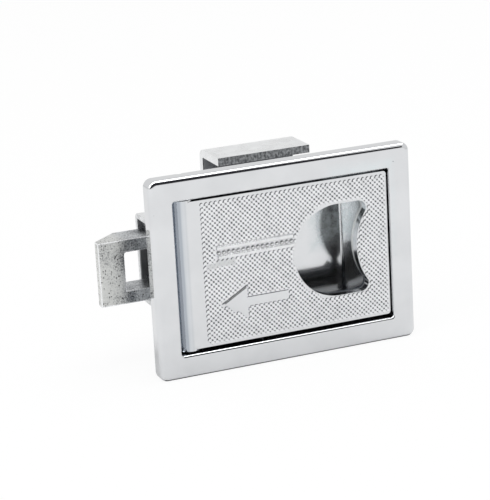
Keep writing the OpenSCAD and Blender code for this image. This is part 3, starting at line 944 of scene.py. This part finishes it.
def skinned(rings: int, sides: int, first: int = 0) -> Faces:
    """Join rings of points into a closed skin.

    Args:
        rings: How many rings follow each other.
        sides: Points round each ring.
        first: Index of the first ring's first point.

    Returns:
        The faces between the rings, and one over each end.
    """
    around = [(k, (k + 1) % sides) for k in range(sides)]
    starts = [first + i * sides for i in range(rings)]
    faces = [
        [a + k, a + n, b + n, b + k] for a, b in zip(starts, starts[1:]) for k, n in around
    ]
    faces.append([starts[0] + k for k in range(sides)])
    faces.append([starts[-1] + k for k in reversed(range(sides))])
    return faces


def turned(rows: Sequence[Range], sides: int, swell: "Swell | None" = None) -> Shape:
    """Turn a profile about Y into a closed solid.

    Args:
        rows: Radius and place along Y of each ring.
        sides: Points round each ring.
        swell: Radius at an angle and a place along Y, for rings that aren't round.

    Returns:
        The solid's points and faces.
    """
    angles = np.arange(sides) * 2.0 * np.pi / sides
    points = []
    for radius, y in rows:
        ring = np.full(sides, radius) if swell is None else swell(angles, radius, y)
        points.append(np.stack([ring * np.cos(angles), np.full(sides, y), ring * np.sin(angles)], 1))
    return np.vstack(points), skinned(len(rows), sides)


def tube(path: np.ndarray, radius: float) -> Shape:
    """Sweep a round wire along a path.

    Args:
        path: Points of the wire's middle.
        radius: The wire's radius.

    Returns:
        The wire's points and faces.
    """
    steps = np.gradient(path, axis=0)
    steps /= np.linalg.norm(steps, axis=1)[:, None]
    across = np.cross(steps[0], ASKEW)
    angles = np.arange(WIRE_SIDES) * 2.0 * np.pi / WIRE_SIDES
    cos, sin = np.cos(angles)[:, None], np.sin(angles)[:, None]
    points = []
    for middle, along in zip(path, steps):
        across = across - along * (across @ along)
        across /= np.linalg.norm(across)
        points.append(middle + radius * (cos * across + sin * np.cross(along, across)))
    return np.vstack(points), skinned(len(path), WIRE_SIDES)


def inset(outline: Outline, by: float) -> Outline:
    """Move every side of an outline inwards, keeping its corners sharp.

    Args:
        outline: Corners in order, anticlockwise.
        by: Distance to move each side.

    Returns:
        The smaller outline.
    """
    p = np.array(outline, float)
    before = p - np.roll(p, 1, 0)
    after = np.roll(p, -1, 0) - p
    before /= np.linalg.norm(before, axis=1)[:, None]
    after /= np.linalg.norm(after, axis=1)[:, None]
    left_before = np.stack([-before[:, 1], before[:, 0]], 1)
    left_after = np.stack([-after[:, 1], after[:, 0]], 1)
    mitre = (left_before + left_after) / (1.0 + (left_before * left_after).sum(1))[:, None]
    return [tuple(q) for q in p + by * mitre]


def raised(outline: Outline, levels: Sequence[Range]) -> Shape:
    """Stack an outline in X and Z into a closed relief.

    Args:
        outline: Corners in order, anticlockwise seen from the front.
        levels: Place along Y and inset of each level, from the base to the top.

    Returns:
        The relief's points and faces.
    """
    points = [(x, y, z) for y, by in levels for x, z in inset(outline, by)]
    return np.array(points), skinned(len(levels), len(outline))


def oblong(left: float, right: float, low: float, high: float) -> Outline:
    """Return the corners of an upright oblong, anticlockwise."""
    return [(left, low), (right, low), (right, high), (left, high)]


def outside(points: np.ndarray, outline: Outline) -> np.ndarray:
    """Measure how far points lie outside an outline.

    Args:
        points: Places in X and Z.
        outline: Corners in order.

    Returns:
        The distance of each, negative inside the outline.
    """
    a = np.array(outline, float)
    b = np.roll(a, -1, 0)
    side = b - a
    rel = points[:, None, :] - a[None]
    t = np.clip((rel * side).sum(2) / (side * side).sum(1), 0.0, 1.0)
    away = np.linalg.norm(rel - t[..., None] * side, axis=2).min(1)
    crosses = (a[:, 1] > points[:, 1, None]) != (b[:, 1] > points[:, 1, None])
    rise = np.where(side[:, 1] == 0.0, 1.0, side[:, 1])
    at = a[:, 0] + (points[:, 1, None] - a[:, 1]) / rise * side[:, 0]
    within = (crosses & (points[:, 0, None] < at)).sum(1) % 2 == 1
    return np.where(within, -away, away)


@dataclass
class Casting:
    """Housing with its bezel, pan and bosses."""

    edge: float = 0.30

    def build(self, finishes: Finishes) -> None:
        """Put chrome on the casting and ease its sharp edges."""
        soften(dress("housing", finishes.casting), self.edge)


@dataclass(frozen=True)
class FingerHole:
    """Outline of the hole in the paddle, in X and Z: a disc and a block, less a tongue."""

    x: float = 19.0
    z: float = 0.5
    radius: float = 15.4
    run: float = 10.4
    corner: float = 2.8
    tongue_x: float = 27.4
    tongue_r: float = 20.8

    def outside(self, points: np.ndarray) -> np.ndarray:
        """Measure how far points lie outside the hole.

        Args:
            points: Places in X and Z.

        Returns:
            The distance of each, negative inside the hole.
        """
        q = points - np.array([self.x, self.z])
        disc = np.hypot(q[:, 0], q[:, 1]) - self.radius
        back = self.radius / 2
        middle = np.array([(self.run - back) / 2, 0.0])
        half = np.array([(self.run + back) / 2, self.radius]) - self.corner
        d = np.abs(q - middle) - half
        block = np.hypot(*np.maximum(d, 0.0).T) + np.minimum(d.max(1), 0.0) - self.corner
        tongue = self.tongue_r - np.hypot(q[:, 0] - self.tongue_x, q[:, 1])
        return np.maximum(np.minimum(disc, block), tongue)


@dataclass
class Paddle:
    """Pull plate: its knurl, its pull arrow, its two ridges and its row of beads."""

    face: float = -3.3
    sunk: float = 0.06
    edge: float = 0.22
    hole: FingerHole = FingerHole()
    hole_rim: float = 0.25
    knurl_box: tuple[float, float, float, float] = (-28.0, 36.35, -23.7, 23.7)
    knurl_pitch: float = 1.6
    knurl_height: float = 0.32
    knurl_levels: tuple[tuple[float, float, float], ...] = (
        (0.0, 1.0, 0.02), (0.03, 1.0, 0.32), (0.65, 0.985, 0.31), (0.95, 0.92, 0.29), (1.0, 0.87, 0.27),
    )
    knurl_corners: int = 8
    knurl_flow: float = 0.35
    knurl_least: float = 0.26
    knurl_uneven: float = 0.012
    knurl_seed: int = 7
    probe: float = 0.01
    pulls: int = 3
    worn: tuple[tuple[float, float, float, float], ...] = (
        (-25.2, 2.3, 1.7, 1.0), (-20.3, 2.9, 3.4, 1.3),
    )
    worn_fade: float = 1.1
    worn_least: float = 0.3
    arrow: Outline = (
        (-22.5, -10.9), (-13.2, -16.5), (-13.2, -12.9), (0.8, -12.9), (0.8, -9.8), (-13.2, -9.8),
        (-13.2, -5.6),
    )
    arrow_rim: float = 0.05
    arrow_height: float = 0.36
    arrow_steps: tuple[Range, ...] = (
        (0.22, 0.03), (0.58, 0.29), (0.60, 0.42), (0.96, 0.68), (1.0, 0.85),
    )
    tail_run: float = 1.2
    tail_slope: float = 0.15
    tail_height: float = 0.97
    band_rim: float = 0.02
    band_margin: float = 0.26
    strip_height: float = 0.15
    strip_draft: float = 0.02
    ridge_z: Range = (4.7, 7.8)
    ridge_x: tuple[Range, Range] = ((-22.8, 3.5), (-23.1, 3.5))
    ridge_w: float = 1.25
    ridge_height: float = 0.34
    ridge_steps: tuple[Range, ...] = ((0.18, 0.03), (0.04, 0.09), (0.0, 0.17))
    bead_row: Range = (-22.4, 2.6)
    bead_z: float = 6.25
    bead_count: int = 16
    bead_r: float = 0.70
    bead_sides: int = 16
    bead_slope: float = 56.0
    bead_rings: tuple[float, ...] = (1.0, 0.8, 0.6, 0.4, 0.2, 0.05)

    def band(self) -> tuple[float, float, float, float]:
        """Return the sides of the plain band for the ridges, with a gap over the upper one."""
        low, high = self.ridge_z[0] - self.ridge_w / 2, self.ridge_z[1] + self.ridge_w / 2
        return *self.ridge_x[1], low, high + self.band_margin

    def knurled(self, points: np.ndarray) -> np.ndarray:
        """Measure how far points lie inside the knurled ground.

        Args:
            points: Places in X and Z.

        Returns:
            The distance of each, negative where the plate is plain.
        """
        x0, x1, z0, z1 = self.knurl_box
        x, z = points.T
        inside = np.minimum.reduce([x - x0, x1 - x, z - z0, z1 - z])
        band = outside(points, oblong(*self.band())) - self.band_rim
        hole = self.hole.outside(points) - self.hole_rim
        arrow = outside(points, self.arrow) - self.arrow_rim
        return np.minimum.reduce([inside, hole, arrow, band])

    def kept(self, points: np.ndarray) -> np.ndarray:
        """Find how much of its grooves the knurl keeps.

        Args:
            points: Places in X and Z.

        Returns:
            The share at each, from 0 in filled spots to 1.
        """
        share = np.ones(len(points))
        for x, z, half_x, half_z in self.worn:
            away = np.hypot((points[:, 0] - x) / half_x, (points[:, 1] - z) / half_z) - 1.0
            left = away * half_z / self.worn_fade + self.worn_least
            share = np.minimum(share, np.clip(left, 0.0, 1.0))
        return share

    def pulled_in(self, points: np.ndarray, margin: float) -> np.ndarray:
        """Move points that lie off the knurled ground inside its border.

        Args:
            points: Places in X and Z.
            margin: Distance to keep from the border.

        Returns:
            The moved places.
        """
        for _ in range(self.pulls):
            short = np.minimum(self.knurled(points) - margin, 0.0)
            offsets = np.eye(2) * self.probe
            slope = np.stack([self.knurled(points + o) - self.knurled(points - o) for o in offsets], 1)
            slope /= np.maximum(np.linalg.norm(slope, axis=1), TINY)[:, None]
            points = points - short[:, None] * slope
        return points

    def diamonds(self) -> np.ndarray:
        """Find the diamonds that have room on the knurled ground.

        Returns:
            The middle of each, in X and Z.
        """
        x0, x1, z0, z1 = self.knurl_box
        half = self.knurl_pitch / 2
        middles = np.array([
            (x0 + half + column * self.knurl_pitch + (row % 2) * half, z0 + half * row)
            for row in range(int((z1 - z0) / half) + 2)
            for column in range(-1, int((x1 - x0) / self.knurl_pitch) + 2)
        ])
        return middles[self.knurled(middles) > self.knurl_least]

    def diamond_ring(self, scale: float, cut: float, kept: np.ndarray) -> np.ndarray:
        """Draw one level of every diamond about its middle.

        Args:
            scale: Width of the level against the base.
            cut: Share of each corner that is cut off.
            kept: How much of its grooves each diamond keeps.

        Returns:
            The corners of each diamond, in half pitches.
        """
        plain = self.knurl_levels[0][2]
        cuts = (plain + (cut - plain) * kept)[:, None]
        scales = (1.0 - (1.0 - scale) * kept)[:, None, None]
        pair = np.stack([np.hstack([1.0 - cuts, -cuts]), np.hstack([1.0 - cuts, cuts])], 1)
        turns = np.array([(QUARTERS[k], QUARTERS[(k + 1) % 4]) for k in range(4)])
        ring = np.einsum("qij,npi->nqpj", turns, pair).reshape(len(kept), self.knurl_corners, 2)
        along = (ring[..., :1] - ring[..., 1:]) * np.array([0.5, -0.5])
        flowing = 1.0 - (1.0 - scales) * self.knurl_flow
        return along * flowing + (ring - along) * scales

    def knurl(self) -> Shape:
        """Make the cast diamonds, each closed, with cut corners and a base on the plate.

        Returns:
            Their points and faces.
        """
        middles = self.diamonds()
        kept = self.kept(middles)
        half = self.knurl_pitch / 2
        rng = np.random.default_rng(self.knurl_seed)
        tilt = rng.normal(0.0, self.knurl_uneven, (len(middles), 1, 2))
        rings = []
        for rise, scale, cut in self.knurl_levels:
            plan = middles[:, None, :] + self.diamond_ring(scale, cut, kept) * half
            margin = 0.5 * half * (1.0 - scale)
            plan = self.pulled_in(plan.reshape(-1, 2), margin).reshape(plan.shape)
            lean = ((plan - middles[:, None, :]) * tilt).sum(2)
            y = self.face - rise * (self.knurl_height + lean)
            rings.append(np.stack([plan[..., 0], y, plan[..., 1]], 2))
        points = np.concatenate(rings, 1).reshape(-1, 3)
        faces = []
        for first in range(0, len(points), self.knurl_corners * len(rings)):
            faces += skinned(len(rings), self.knurl_corners, first)
        return points, faces

    def pull_arrow(self) -> Shape:
        """Make the plain raised arrow: a head with two soft shoulders and a tail run into it.

        Returns:
            Its points and faces.
        """
        a = self.arrow
        head = (a[0], a[1], a[6])
        tail = ((a[2][0] - self.tail_run, a[2][1]), a[3], a[4], (a[5][0] - self.tail_run, a[5][1]))
        shapes = []
        for outline, slope, height in ((head, 1.0, 1.0), (tail, self.tail_slope, self.tail_height)):
            rise = height * self.arrow_height
            levels = [(self.face - share * rise, by * slope) for share, by in self.arrow_steps]
            shapes.append(raised(outline, [(self.face + self.sunk, 0.0), *levels]))
        return joined(shapes)

    def ridges(self) -> Shape:
        """Make the two ridges and the sunk strip between them.

        Returns:
            Their points and faces.
        """
        base = (self.face + self.sunk, 0.0)
        _, right, low, high = self.band()
        strip = oblong(self.ridge_x[0][0] + self.sunk, right - self.sunk, low + self.sunk, high)
        shapes = [raised(strip, [base, (self.face - self.strip_height, self.strip_draft)])]
        top, half = self.face - self.ridge_height, self.ridge_w / 2
        for z, ends in zip(self.ridge_z, self.ridge_x):
            levels = [(top + down, by) for down, by in self.ridge_steps]
            shapes.append(raised(oblong(*ends, z - half, z + half), [base, *levels]))
        return joined(shapes)

    def beads(self) -> Shape:
        """Make the row of beads on the strip.

        Returns:
            Their points and faces.
        """
        steep = math.radians(self.bead_slope)
        ball, foot = self.bead_r / math.sin(steep), self.face - self.strip_height
        rows = [(self.bead_r, foot + self.sunk)]
        for share in self.bead_rings:
            a = steep * share
            rows.append((ball * math.sin(a), foot - ball * (math.cos(a) - math.cos(steep))))
        bead = turned(rows, self.bead_sides)
        places = np.linspace(*self.bead_row, self.bead_count)
        return joined([moved(bead, (x, 0.0, self.bead_z)) for x in places])

    def build(self, finishes: Finishes) -> None:
        """Make the paddle's raised work and dress its plate.

        Args:
            finishes: The lock's finishes.
        """
        soften(dress("paddle", finishes.plate), self.edge)
        for name, shape, smooth_deg, finish in (
            ("paddle_knurl", self.knurl(), None, finishes.knurl),
            ("paddle_arrow", self.pull_arrow(), None, finishes.plate),
            ("paddle_ridges", self.ridges(), SMOOTH_WIRE_DEG, finishes.knurl),
            ("paddle_beads", self.beads(), SMOOTH_WIRE_DEG, finishes.beads),
        ):
            fit(new_piece(name, shape, smooth_deg), Body.PULL, finish)


@dataclass(frozen=True)
class Screw:
    """Pan-head screw along Y, its head towards +Y, with a cross recess and a cut thread."""

    shank_r: float
    head_r: float
    head_h: float
    pitch: float
    seat: float
    tip: float
    sides: int = 24
    pitch_steps: int = 8
    lead: float = 0.3
    point: tuple[Range, ...] = ((0.6, 0.0), (0.78, 0.02))
    neck: Range = (0.9, 0.001)
    flange: Range = (0.96, 0.002)
    dome: tuple[Range, ...] = (
        (1.0, 0.04), (1.0, 0.42), (0.985, 0.55), (0.94, 0.70),
        (0.85, 0.83), (0.70, 0.92), (0.45, 0.98), (0.15, 1.0),
    )
    thread_crest: float = 1.35
    thread_slope: float = 2.7
    thread_depth: float = 0.6
    arm: float = 0.62
    arm_half: float = 0.17
    recess_taper: float = 0.55
    recess_floor: float = 0.38
    past: float = 0.1

    def profile(self) -> list[Range]:
        """Draw the screw's side.

        Returns:
            Radius and place of each ring, from the tip to the top of the head.
        """
        step = self.pitch / self.pitch_steps
        count = int((self.seat - self.tip) / step)
        thread = [self.tip + self.lead + i * step for i in range(count)]
        rows = [(self.shank_r * share, self.tip + y) for share, y in self.point]
        rows += [(self.shank_r, y) for y in thread if y < self.seat]
        rows.append((self.shank_r * self.neck[0], self.seat + self.neck[1]))
        rows.append((self.head_r * self.flange[0], self.seat + self.flange[1]))
        rows += [(self.head_r * share, self.seat + self.head_h * rise) for share, rise in self.dome]
        return rows

    def swell(self, angles: np.ndarray, radius: float, y: float) -> np.ndarray:
        """Cut the thread along the shank.

        Args:
            angles: Angles round a ring.
            radius: The ring's radius in the profile.
            y: The ring's place.

        Returns:
            The radius at each angle.
        """
        if not math.isclose(radius, self.shank_r):
            return np.full(len(angles), radius)
        turn = (y / self.pitch - angles / (2.0 * np.pi)) % 1.0
        crest = np.clip(self.thread_crest - self.thread_slope * np.abs(turn - 0.5), 0.0, 1.0)
        fade = min(1.0, (self.seat - y) / self.pitch)
        return radius - self.thread_depth * self.pitch * fade * (1.0 - crest)

    def recess(self) -> Shape:
        """Make the tapered cross that the driver fits.

        Returns:
            Its points and faces.
        """
        arm, half = self.head_r * self.arm, self.head_r * self.arm_half
        cross = [
            (along * c - over * s, along * s + over * c)
            for c, s in QUARTERS
            for along, over in ((half, -half), (arm, -half), (arm, half))
        ]
        top = self.seat + self.head_h + self.past
        floor = self.seat + self.head_h * self.recess_floor
        rings = ((top, 1.0), (floor, self.recess_taper))
        points = [(x * share, y, z * share) for y, share in rings for x, z in cross]
        return np.array(points), skinned(2, len(cross))

    def shape(self) -> Shape:
        """Make the whole screw, with its recess cut.

        Returns:
            Its points and faces, about its own axis.
        """
        blank = new_piece("screw_blank", turned(self.profile(), self.sides, self.swell))
        driver = new_piece("screw_driver", self.recess())
        cut = blank.modifiers.new("recess", "BOOLEAN")
        cut.operation, cut.object, cut.solver = "DIFFERENCE", driver, "EXACT"
        bpy.context.view_layer.update()
        made = blank.evaluated_get(bpy.context.evaluated_depsgraph_get())
        mesh = made.to_mesh()
        points = np.array([v.co for v in mesh.vertices]) / MM
        faces = [list(p.vertices) for p in mesh.polygons]
        made.to_mesh_clear()
        for piece in (blank, driver):
            bpy.data.objects.remove(piece)
        return points, faces


@dataclass
class BoltCarrier:
    """Slam bolt, the guide that carries it, the cover behind its spring and their screws."""

    bolt_edge: float = 0.32
    sheet_edge: float = 0.16
    guide_screw: Screw = Screw(1.5, 2.75, 1.6, 0.5, 15.3, 9.0)
    guide_screw_x: Range = (-33.2, -22.2)
    guide_screw_z: float = 18.4
    cover_screw: Screw = Screw(1.5, 2.75, 1.6, 0.5, 14.2, 9.0)
    cover_screw_x: float = -11.29
    cover_screw_z: float = 7.5

    def build(self, finishes: Finishes) -> None:
        """Dress the bolt, guide and cover, and make their screws.

        Args:
            finishes: The lock's finishes.
        """
        soften(dress("latch_bolt", finishes.zinc), self.bolt_edge)
        soften(dress("bolt_guide", finishes.guide_sheet), self.sheet_edge)
        soften(dress("spring_cover", finishes.guide_sheet), self.sheet_edge)
        dress("guide_washers", finishes.screw)
        places = [(x, side * self.guide_screw_z) for x in self.guide_screw_x for side in (-1, 1)]
        self.screws("guide_screws", self.guide_screw, places, finishes)
        places = [(self.cover_screw_x, side * self.cover_screw_z) for side in (-1, 1)]
        self.screws("cover_screws", self.cover_screw, places, finishes)

    def screws(
        self, node: str, screw: Screw, places: Sequence[tuple[float, float]], finishes: Finishes
    ) -> None:
        """Make one piece of several screws, in place of a node.

        Args:
            node: The node that it stands for.
            screw: One of the screws.
            places: X and Z of each screw.
            finishes: The lock's finishes.
        """
        one = screw.shape()
        shape = joined([moved(one, (x, 0.0, z)) for x, z in places])
        piece = new_piece(node + "_cross", shape, SMOOTH_SCREW_DEG)
        fit(piece, Body.FIXED, finishes.screw)
        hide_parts(node)


@dataclass
class Springs:
    """Pin, torsion spring of the paddle and compression spring of the bolt."""

    turn_points: int = 28
    bolt_ends: Range = (-28.35, -5.2)
    bolt_y: float = 10.45
    bolt_mean_r: float = 2.05
    bolt_wire_r: float = 0.35
    bolt_turns: float = 9.0
    bolt_dead_turns: float = 2.0
    bolt_dead_pitch: float = 2.1
    bolt_travel: float = 10.67
    pin_x: float = -32.85
    pin_y: float = 0.7
    twist_mean_r: float = 1.85
    twist_wire_r: float = 0.3
    twist_turns: int = 6
    twist_pitch: float = 0.9
    twist_z: float = -15.0
    twist_leg: Range = (4.8, 0.3)
    twist_leg_points: int = 8

    def bolt_spring(self) -> Shape:
        """Make the compression spring, its end turns closed and set flat.

        Returns:
            Its points and faces.
        """
        start, end = self.bolt_ends[0] + self.bolt_wire_r, self.bolt_ends[1] - self.bolt_wire_r
        dead = self.bolt_dead_turns
        turns = self.bolt_turns + 2.0 * dead
        t = np.linspace(0.0, turns, int(turns * self.turn_points))
        close = self.bolt_dead_pitch * self.bolt_wire_r
        open_pitch = (end - start - 2.0 * dead * close) / self.bolt_turns
        rate = np.where((t < dead) | (t > turns - dead), close, open_pitch)
        run = np.cumsum((rate[1:] + rate[:-1]) / 2 * np.diff(t))
        along = start + np.concatenate([[0.0], run])
        y = self.bolt_y + self.bolt_mean_r * np.sin(2.0 * np.pi * t)
        z = self.bolt_mean_r * np.cos(2.0 * np.pi * t)
        return tube(np.stack([along, y, z], 1), self.bolt_wire_r)

    def twist_spring(self) -> Shape:
        """Make the torsion spring round the pin, with its leg on the deck.

        Returns:
            Its points and faces.
        """
        low = self.twist_z - self.twist_turns * self.twist_pitch / 2
        t = np.linspace(0.0, self.twist_turns, self.twist_turns * self.turn_points)
        x = self.pin_x + self.twist_mean_r * np.cos(2.0 * np.pi * t)
        y = self.pin_y + self.twist_mean_r * np.sin(2.0 * np.pi * t)
        coil = np.stack([x, y, low + self.twist_pitch * t], 1)
        reach = np.linspace(*self.twist_leg, self.twist_leg_points)
        leg = [(self.pin_x + self.twist_mean_r, self.pin_y + out, low) for out in reach]
        return tube(np.vstack([np.array(leg), coil]), self.twist_wire_r)

    def build(self, finishes: Finishes) -> None:
        """Make both springs and dress the pin.

        Args:
            finishes: The lock's finishes.
        """
        dress("paddle_pin", finishes.pin)
        throw = new_piece("bolt_spring_wire", self.bolt_spring(), SMOOTH_WIRE_DEG)
        fit(throw, Body.FIXED, finishes.wire)
        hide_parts("bolt_spring")
        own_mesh(throw)
        shut = new_piece("paddle_spring_wire", self.twist_spring(), SMOOTH_WIRE_DEG)
        fit(shut, Body.FIXED, finishes.wire)
        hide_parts("paddle_spring")


@dataclass
class PanelClamp:
    """Strap that grips the panel, with its two screws and their washers."""

    screw_x: float = 0.9
    screw_z: float = 22.5
    screw: Screw = Screw(2.0, 4.0, 3.0, 0.7, 29.9, 11.5)

    def build(self, finishes: Finishes) -> None:
        """Dress the strap and washers and make both screws.

        Args:
            finishes: The lock's finishes.
        """
        dress("clamp_strap", finishes.strap_sheet)
        dress("clamp_washers", finishes.screw)
        dress("clamp_lock_washers", finishes.wire)
        one = self.screw.shape()
        for z, body, node in (
            (self.screw_z, Body.SCREW_TOP, "clamp_screw_top"),
            (-self.screw_z, Body.SCREW_BOTTOM, "clamp_screw_bottom"),
        ):
            shape = moved(one, (self.screw_x, 0.0, z))
            piece = new_piece(node + "_threaded", shape, SMOOTH_SCREW_DEG)
            fit(piece, body, finishes.screw)
            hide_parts(node)


@dataclass(frozen=True)
class SoftLamp:
    """One soft oblong studio lamp, aimed at the lock."""

    name: str
    place: Corner
    size: Range
    watts: float

    def build(self, aim: Vector) -> None:
        """Hang the lamp and point it.

        Args:
            aim: The point that it shines at.
        """
        data = bpy.data.lights.new(self.name, "AREA")
        data.shape = "RECTANGLE"
        data.size, data.size_y = self.size
        data.energy = self.watts
        lamp = bpy.data.objects.new(self.name, data)
        lamp.location = self.place
        lamp.rotation_mode = "QUATERNION"
        lamp.rotation_quaternion = (aim - Vector(self.place)).to_track_quat("-Z", "Y")
        bpy.context.scene.collection.objects.link(lamp)


@dataclass(frozen=True)
class MirrorCard:
    """A card that only polished metal sees."""

    name: str
    corners: tuple[Corner, Corner, Corner, Corner]
    shade: Colour

    def build(self) -> None:
        """Hang the card, unseen by the camera and by matt surfaces."""
        material = bpy.data.materials.new(self.name)
        g = NodeGraph(material, "ShaderNodeOutputMaterial")
        g.feed(g.surface, g.add("ShaderNodeEmission", {"Color": self.shade}).outputs[0])
        card = new_piece(self.name, (np.array(self.corners) / MM, [[0, 1, 2, 3]]))
        coat(card, material)
        card.visible_camera = card.visible_diffuse = card.visible_shadow = False
        card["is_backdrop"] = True


@dataclass
class Studio:
    """White sweep, soft lamps, a dark gap where the camera looks in, and the camera."""

    floor_half: float = 3.0
    white: float = 1.0
    mirrored: float = 0.86
    ambient: float = 0.9
    floor_tone: Colour = (0.67, 0.67, 0.67)
    floor_glow: float = 0.92
    lamps: tuple[SoftLamp, ...] = (
        SoftLamp("lamp_over", (0.1, -0.2, 1.15), (1.8, 0.46), 10.0),
        SoftLamp("lamp_left", (-1.1, -0.45, 0.7), (0.8, 0.9), 5.0),
    )
    cards: tuple[MirrorCard, ...] = (
        MirrorCard(
            "tent_gap",
            ((-2.0, -0.8, 0.08), (0.46, -0.8, 0.08), (0.55, -0.8, 1.5), (-2.0, -0.8, 1.5)),
            (0.03, 0.03, 0.035),
        ),
        MirrorCard(
            "contact_shade",
            ((-0.0435, -0.0047, -0.03297), (0.0435, -0.0047, -0.03297),
             (0.0435, -0.0005, -0.03297), (-0.0435, -0.0005, -0.03297)),
            (0.10, 0.10, 0.105),
        ),
    )
    lens_px: float = 2139.0
    frame_px: float = 500.0
    sensor: float = 36.0
    clip: Range = (0.01, 50.0)
    turn_deg: float = 21.56
    tilt_deg: float = 16.55
    roll_deg: float = -3.24
    aim_mm: Corner = (-14.09, -5.0, 6.28)
    away_mm: float = 677.5

    def camera(self) -> None:
        """Set the camera where the photograph was taken from."""
        turn, tilt, roll = (math.radians(a) for a in (self.turn_deg, self.tilt_deg, self.roll_deg))
        flat = math.cos(tilt)
        ahead = Vector((math.sin(turn) * flat, math.cos(turn) * flat, -math.sin(tilt)))
        level = Vector((math.cos(turn), -math.sin(turn), 0.0))
        above = level.cross(ahead)
        right = math.cos(roll) * level + math.sin(roll) * above
        up = math.cos(roll) * above - math.sin(roll) * level
        data = bpy.data.cameras.new("camera")
        data.sensor_fit = "VERTICAL"
        data.sensor_width = data.sensor_height = self.sensor
        data.lens = self.lens_px * self.sensor / self.frame_px
        data.clip_start, data.clip_end = self.clip
        camera = bpy.data.objects.new("camera", data)
        place = (Vector(self.aim_mm) - self.away_mm * ahead) * MM
        turned_to = Matrix((right, up, -ahead)).transposed().to_4x4()
        camera.matrix_world = Matrix.Translation(place) @ turned_to
        bpy.context.scene.collection.objects.link(camera)
        bpy.context.scene.camera = camera

    def world(self) -> None:
        """Fill the world with white to the camera, and softer light on metal and on the floor."""
        world = bpy.data.worlds.new("white_room")
        g = NodeGraph(world, "ShaderNodeOutputWorld")
        path = g.add("ShaderNodeLightPath")
        level: Feed = self.ambient
        for key, strength in (("Is Glossy Ray", self.mirrored), ("Is Camera Ray", self.white)):
            feeds = {"Factor": path.outputs[key], "A": level, "B": strength}
            level = g.add("ShaderNodeMix", feeds).outputs["Result"]
        light = g.add("ShaderNodeBackground", {"Color": (1.0, 1.0, 1.0), "Strength": level})
        g.feed(g.surface, light.outputs[0])
        bpy.context.scene.world = world

    def floor(self, level: float) -> None:
        """Lay the pale floor under the lock, nearly white to the camera.

        Args:
            level: Height of the lock's lowest point, in metres.
        """
        h = self.floor_half
        corners = np.array([(x, z, level) for x, z in oblong(-h, h, -h, h)]) / MM
        sweep = new_piece("floor", (corners, [[0, 1, 2, 3]]))
        material = bpy.data.materials.new("floor_white")
        g = NodeGraph(material, "ShaderNodeOutputMaterial")
        seen = g.times(g.add("ShaderNodeLightPath").outputs["Is Camera Ray"], self.floor_glow)
        matt = g.add("ShaderNodeBsdfDiffuse", {"Color": self.floor_tone})
        glow = g.add("ShaderNodeEmission", {"Strength": self.white})
        mix = g.add("ShaderNodeMixShader", {"Fac": seen, 1: matt.outputs[0], 2: glow.outputs[0]})
        g.feed(g.surface, mix.outputs[0])
        coat(sweep, material)
        sweep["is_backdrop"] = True

    def build(self, low: Vector, high: Vector) -> None:
        """Set up the camera, the world, the floor, the cards and the lamps.

        Args:
            low: The lock's lowest corner.
            high: The lock's highest corner.
        """
        self.camera()
        self.world()
        self.floor(low.z)
        for card in self.cards:
            card.build()
        for lamp in self.lamps:
            lamp.build((low + high) / 2)
        bpy.context.scene.view_settings.view_transform = "Standard"


def main() -> None:
    """Build the lock's looks in order."""
    logging.basicConfig(level=logging.INFO, format="%(message)s")
    low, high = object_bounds()
    finishes = Finishes.make()
    Studio().build(low, high)
    for part in (Casting(), Paddle(), BoltCarrier(), Springs(), PanelClamp()):
        part.build(finishes)
    bpy.context.view_layer.update()


if __name__ == "__main__":
    main()
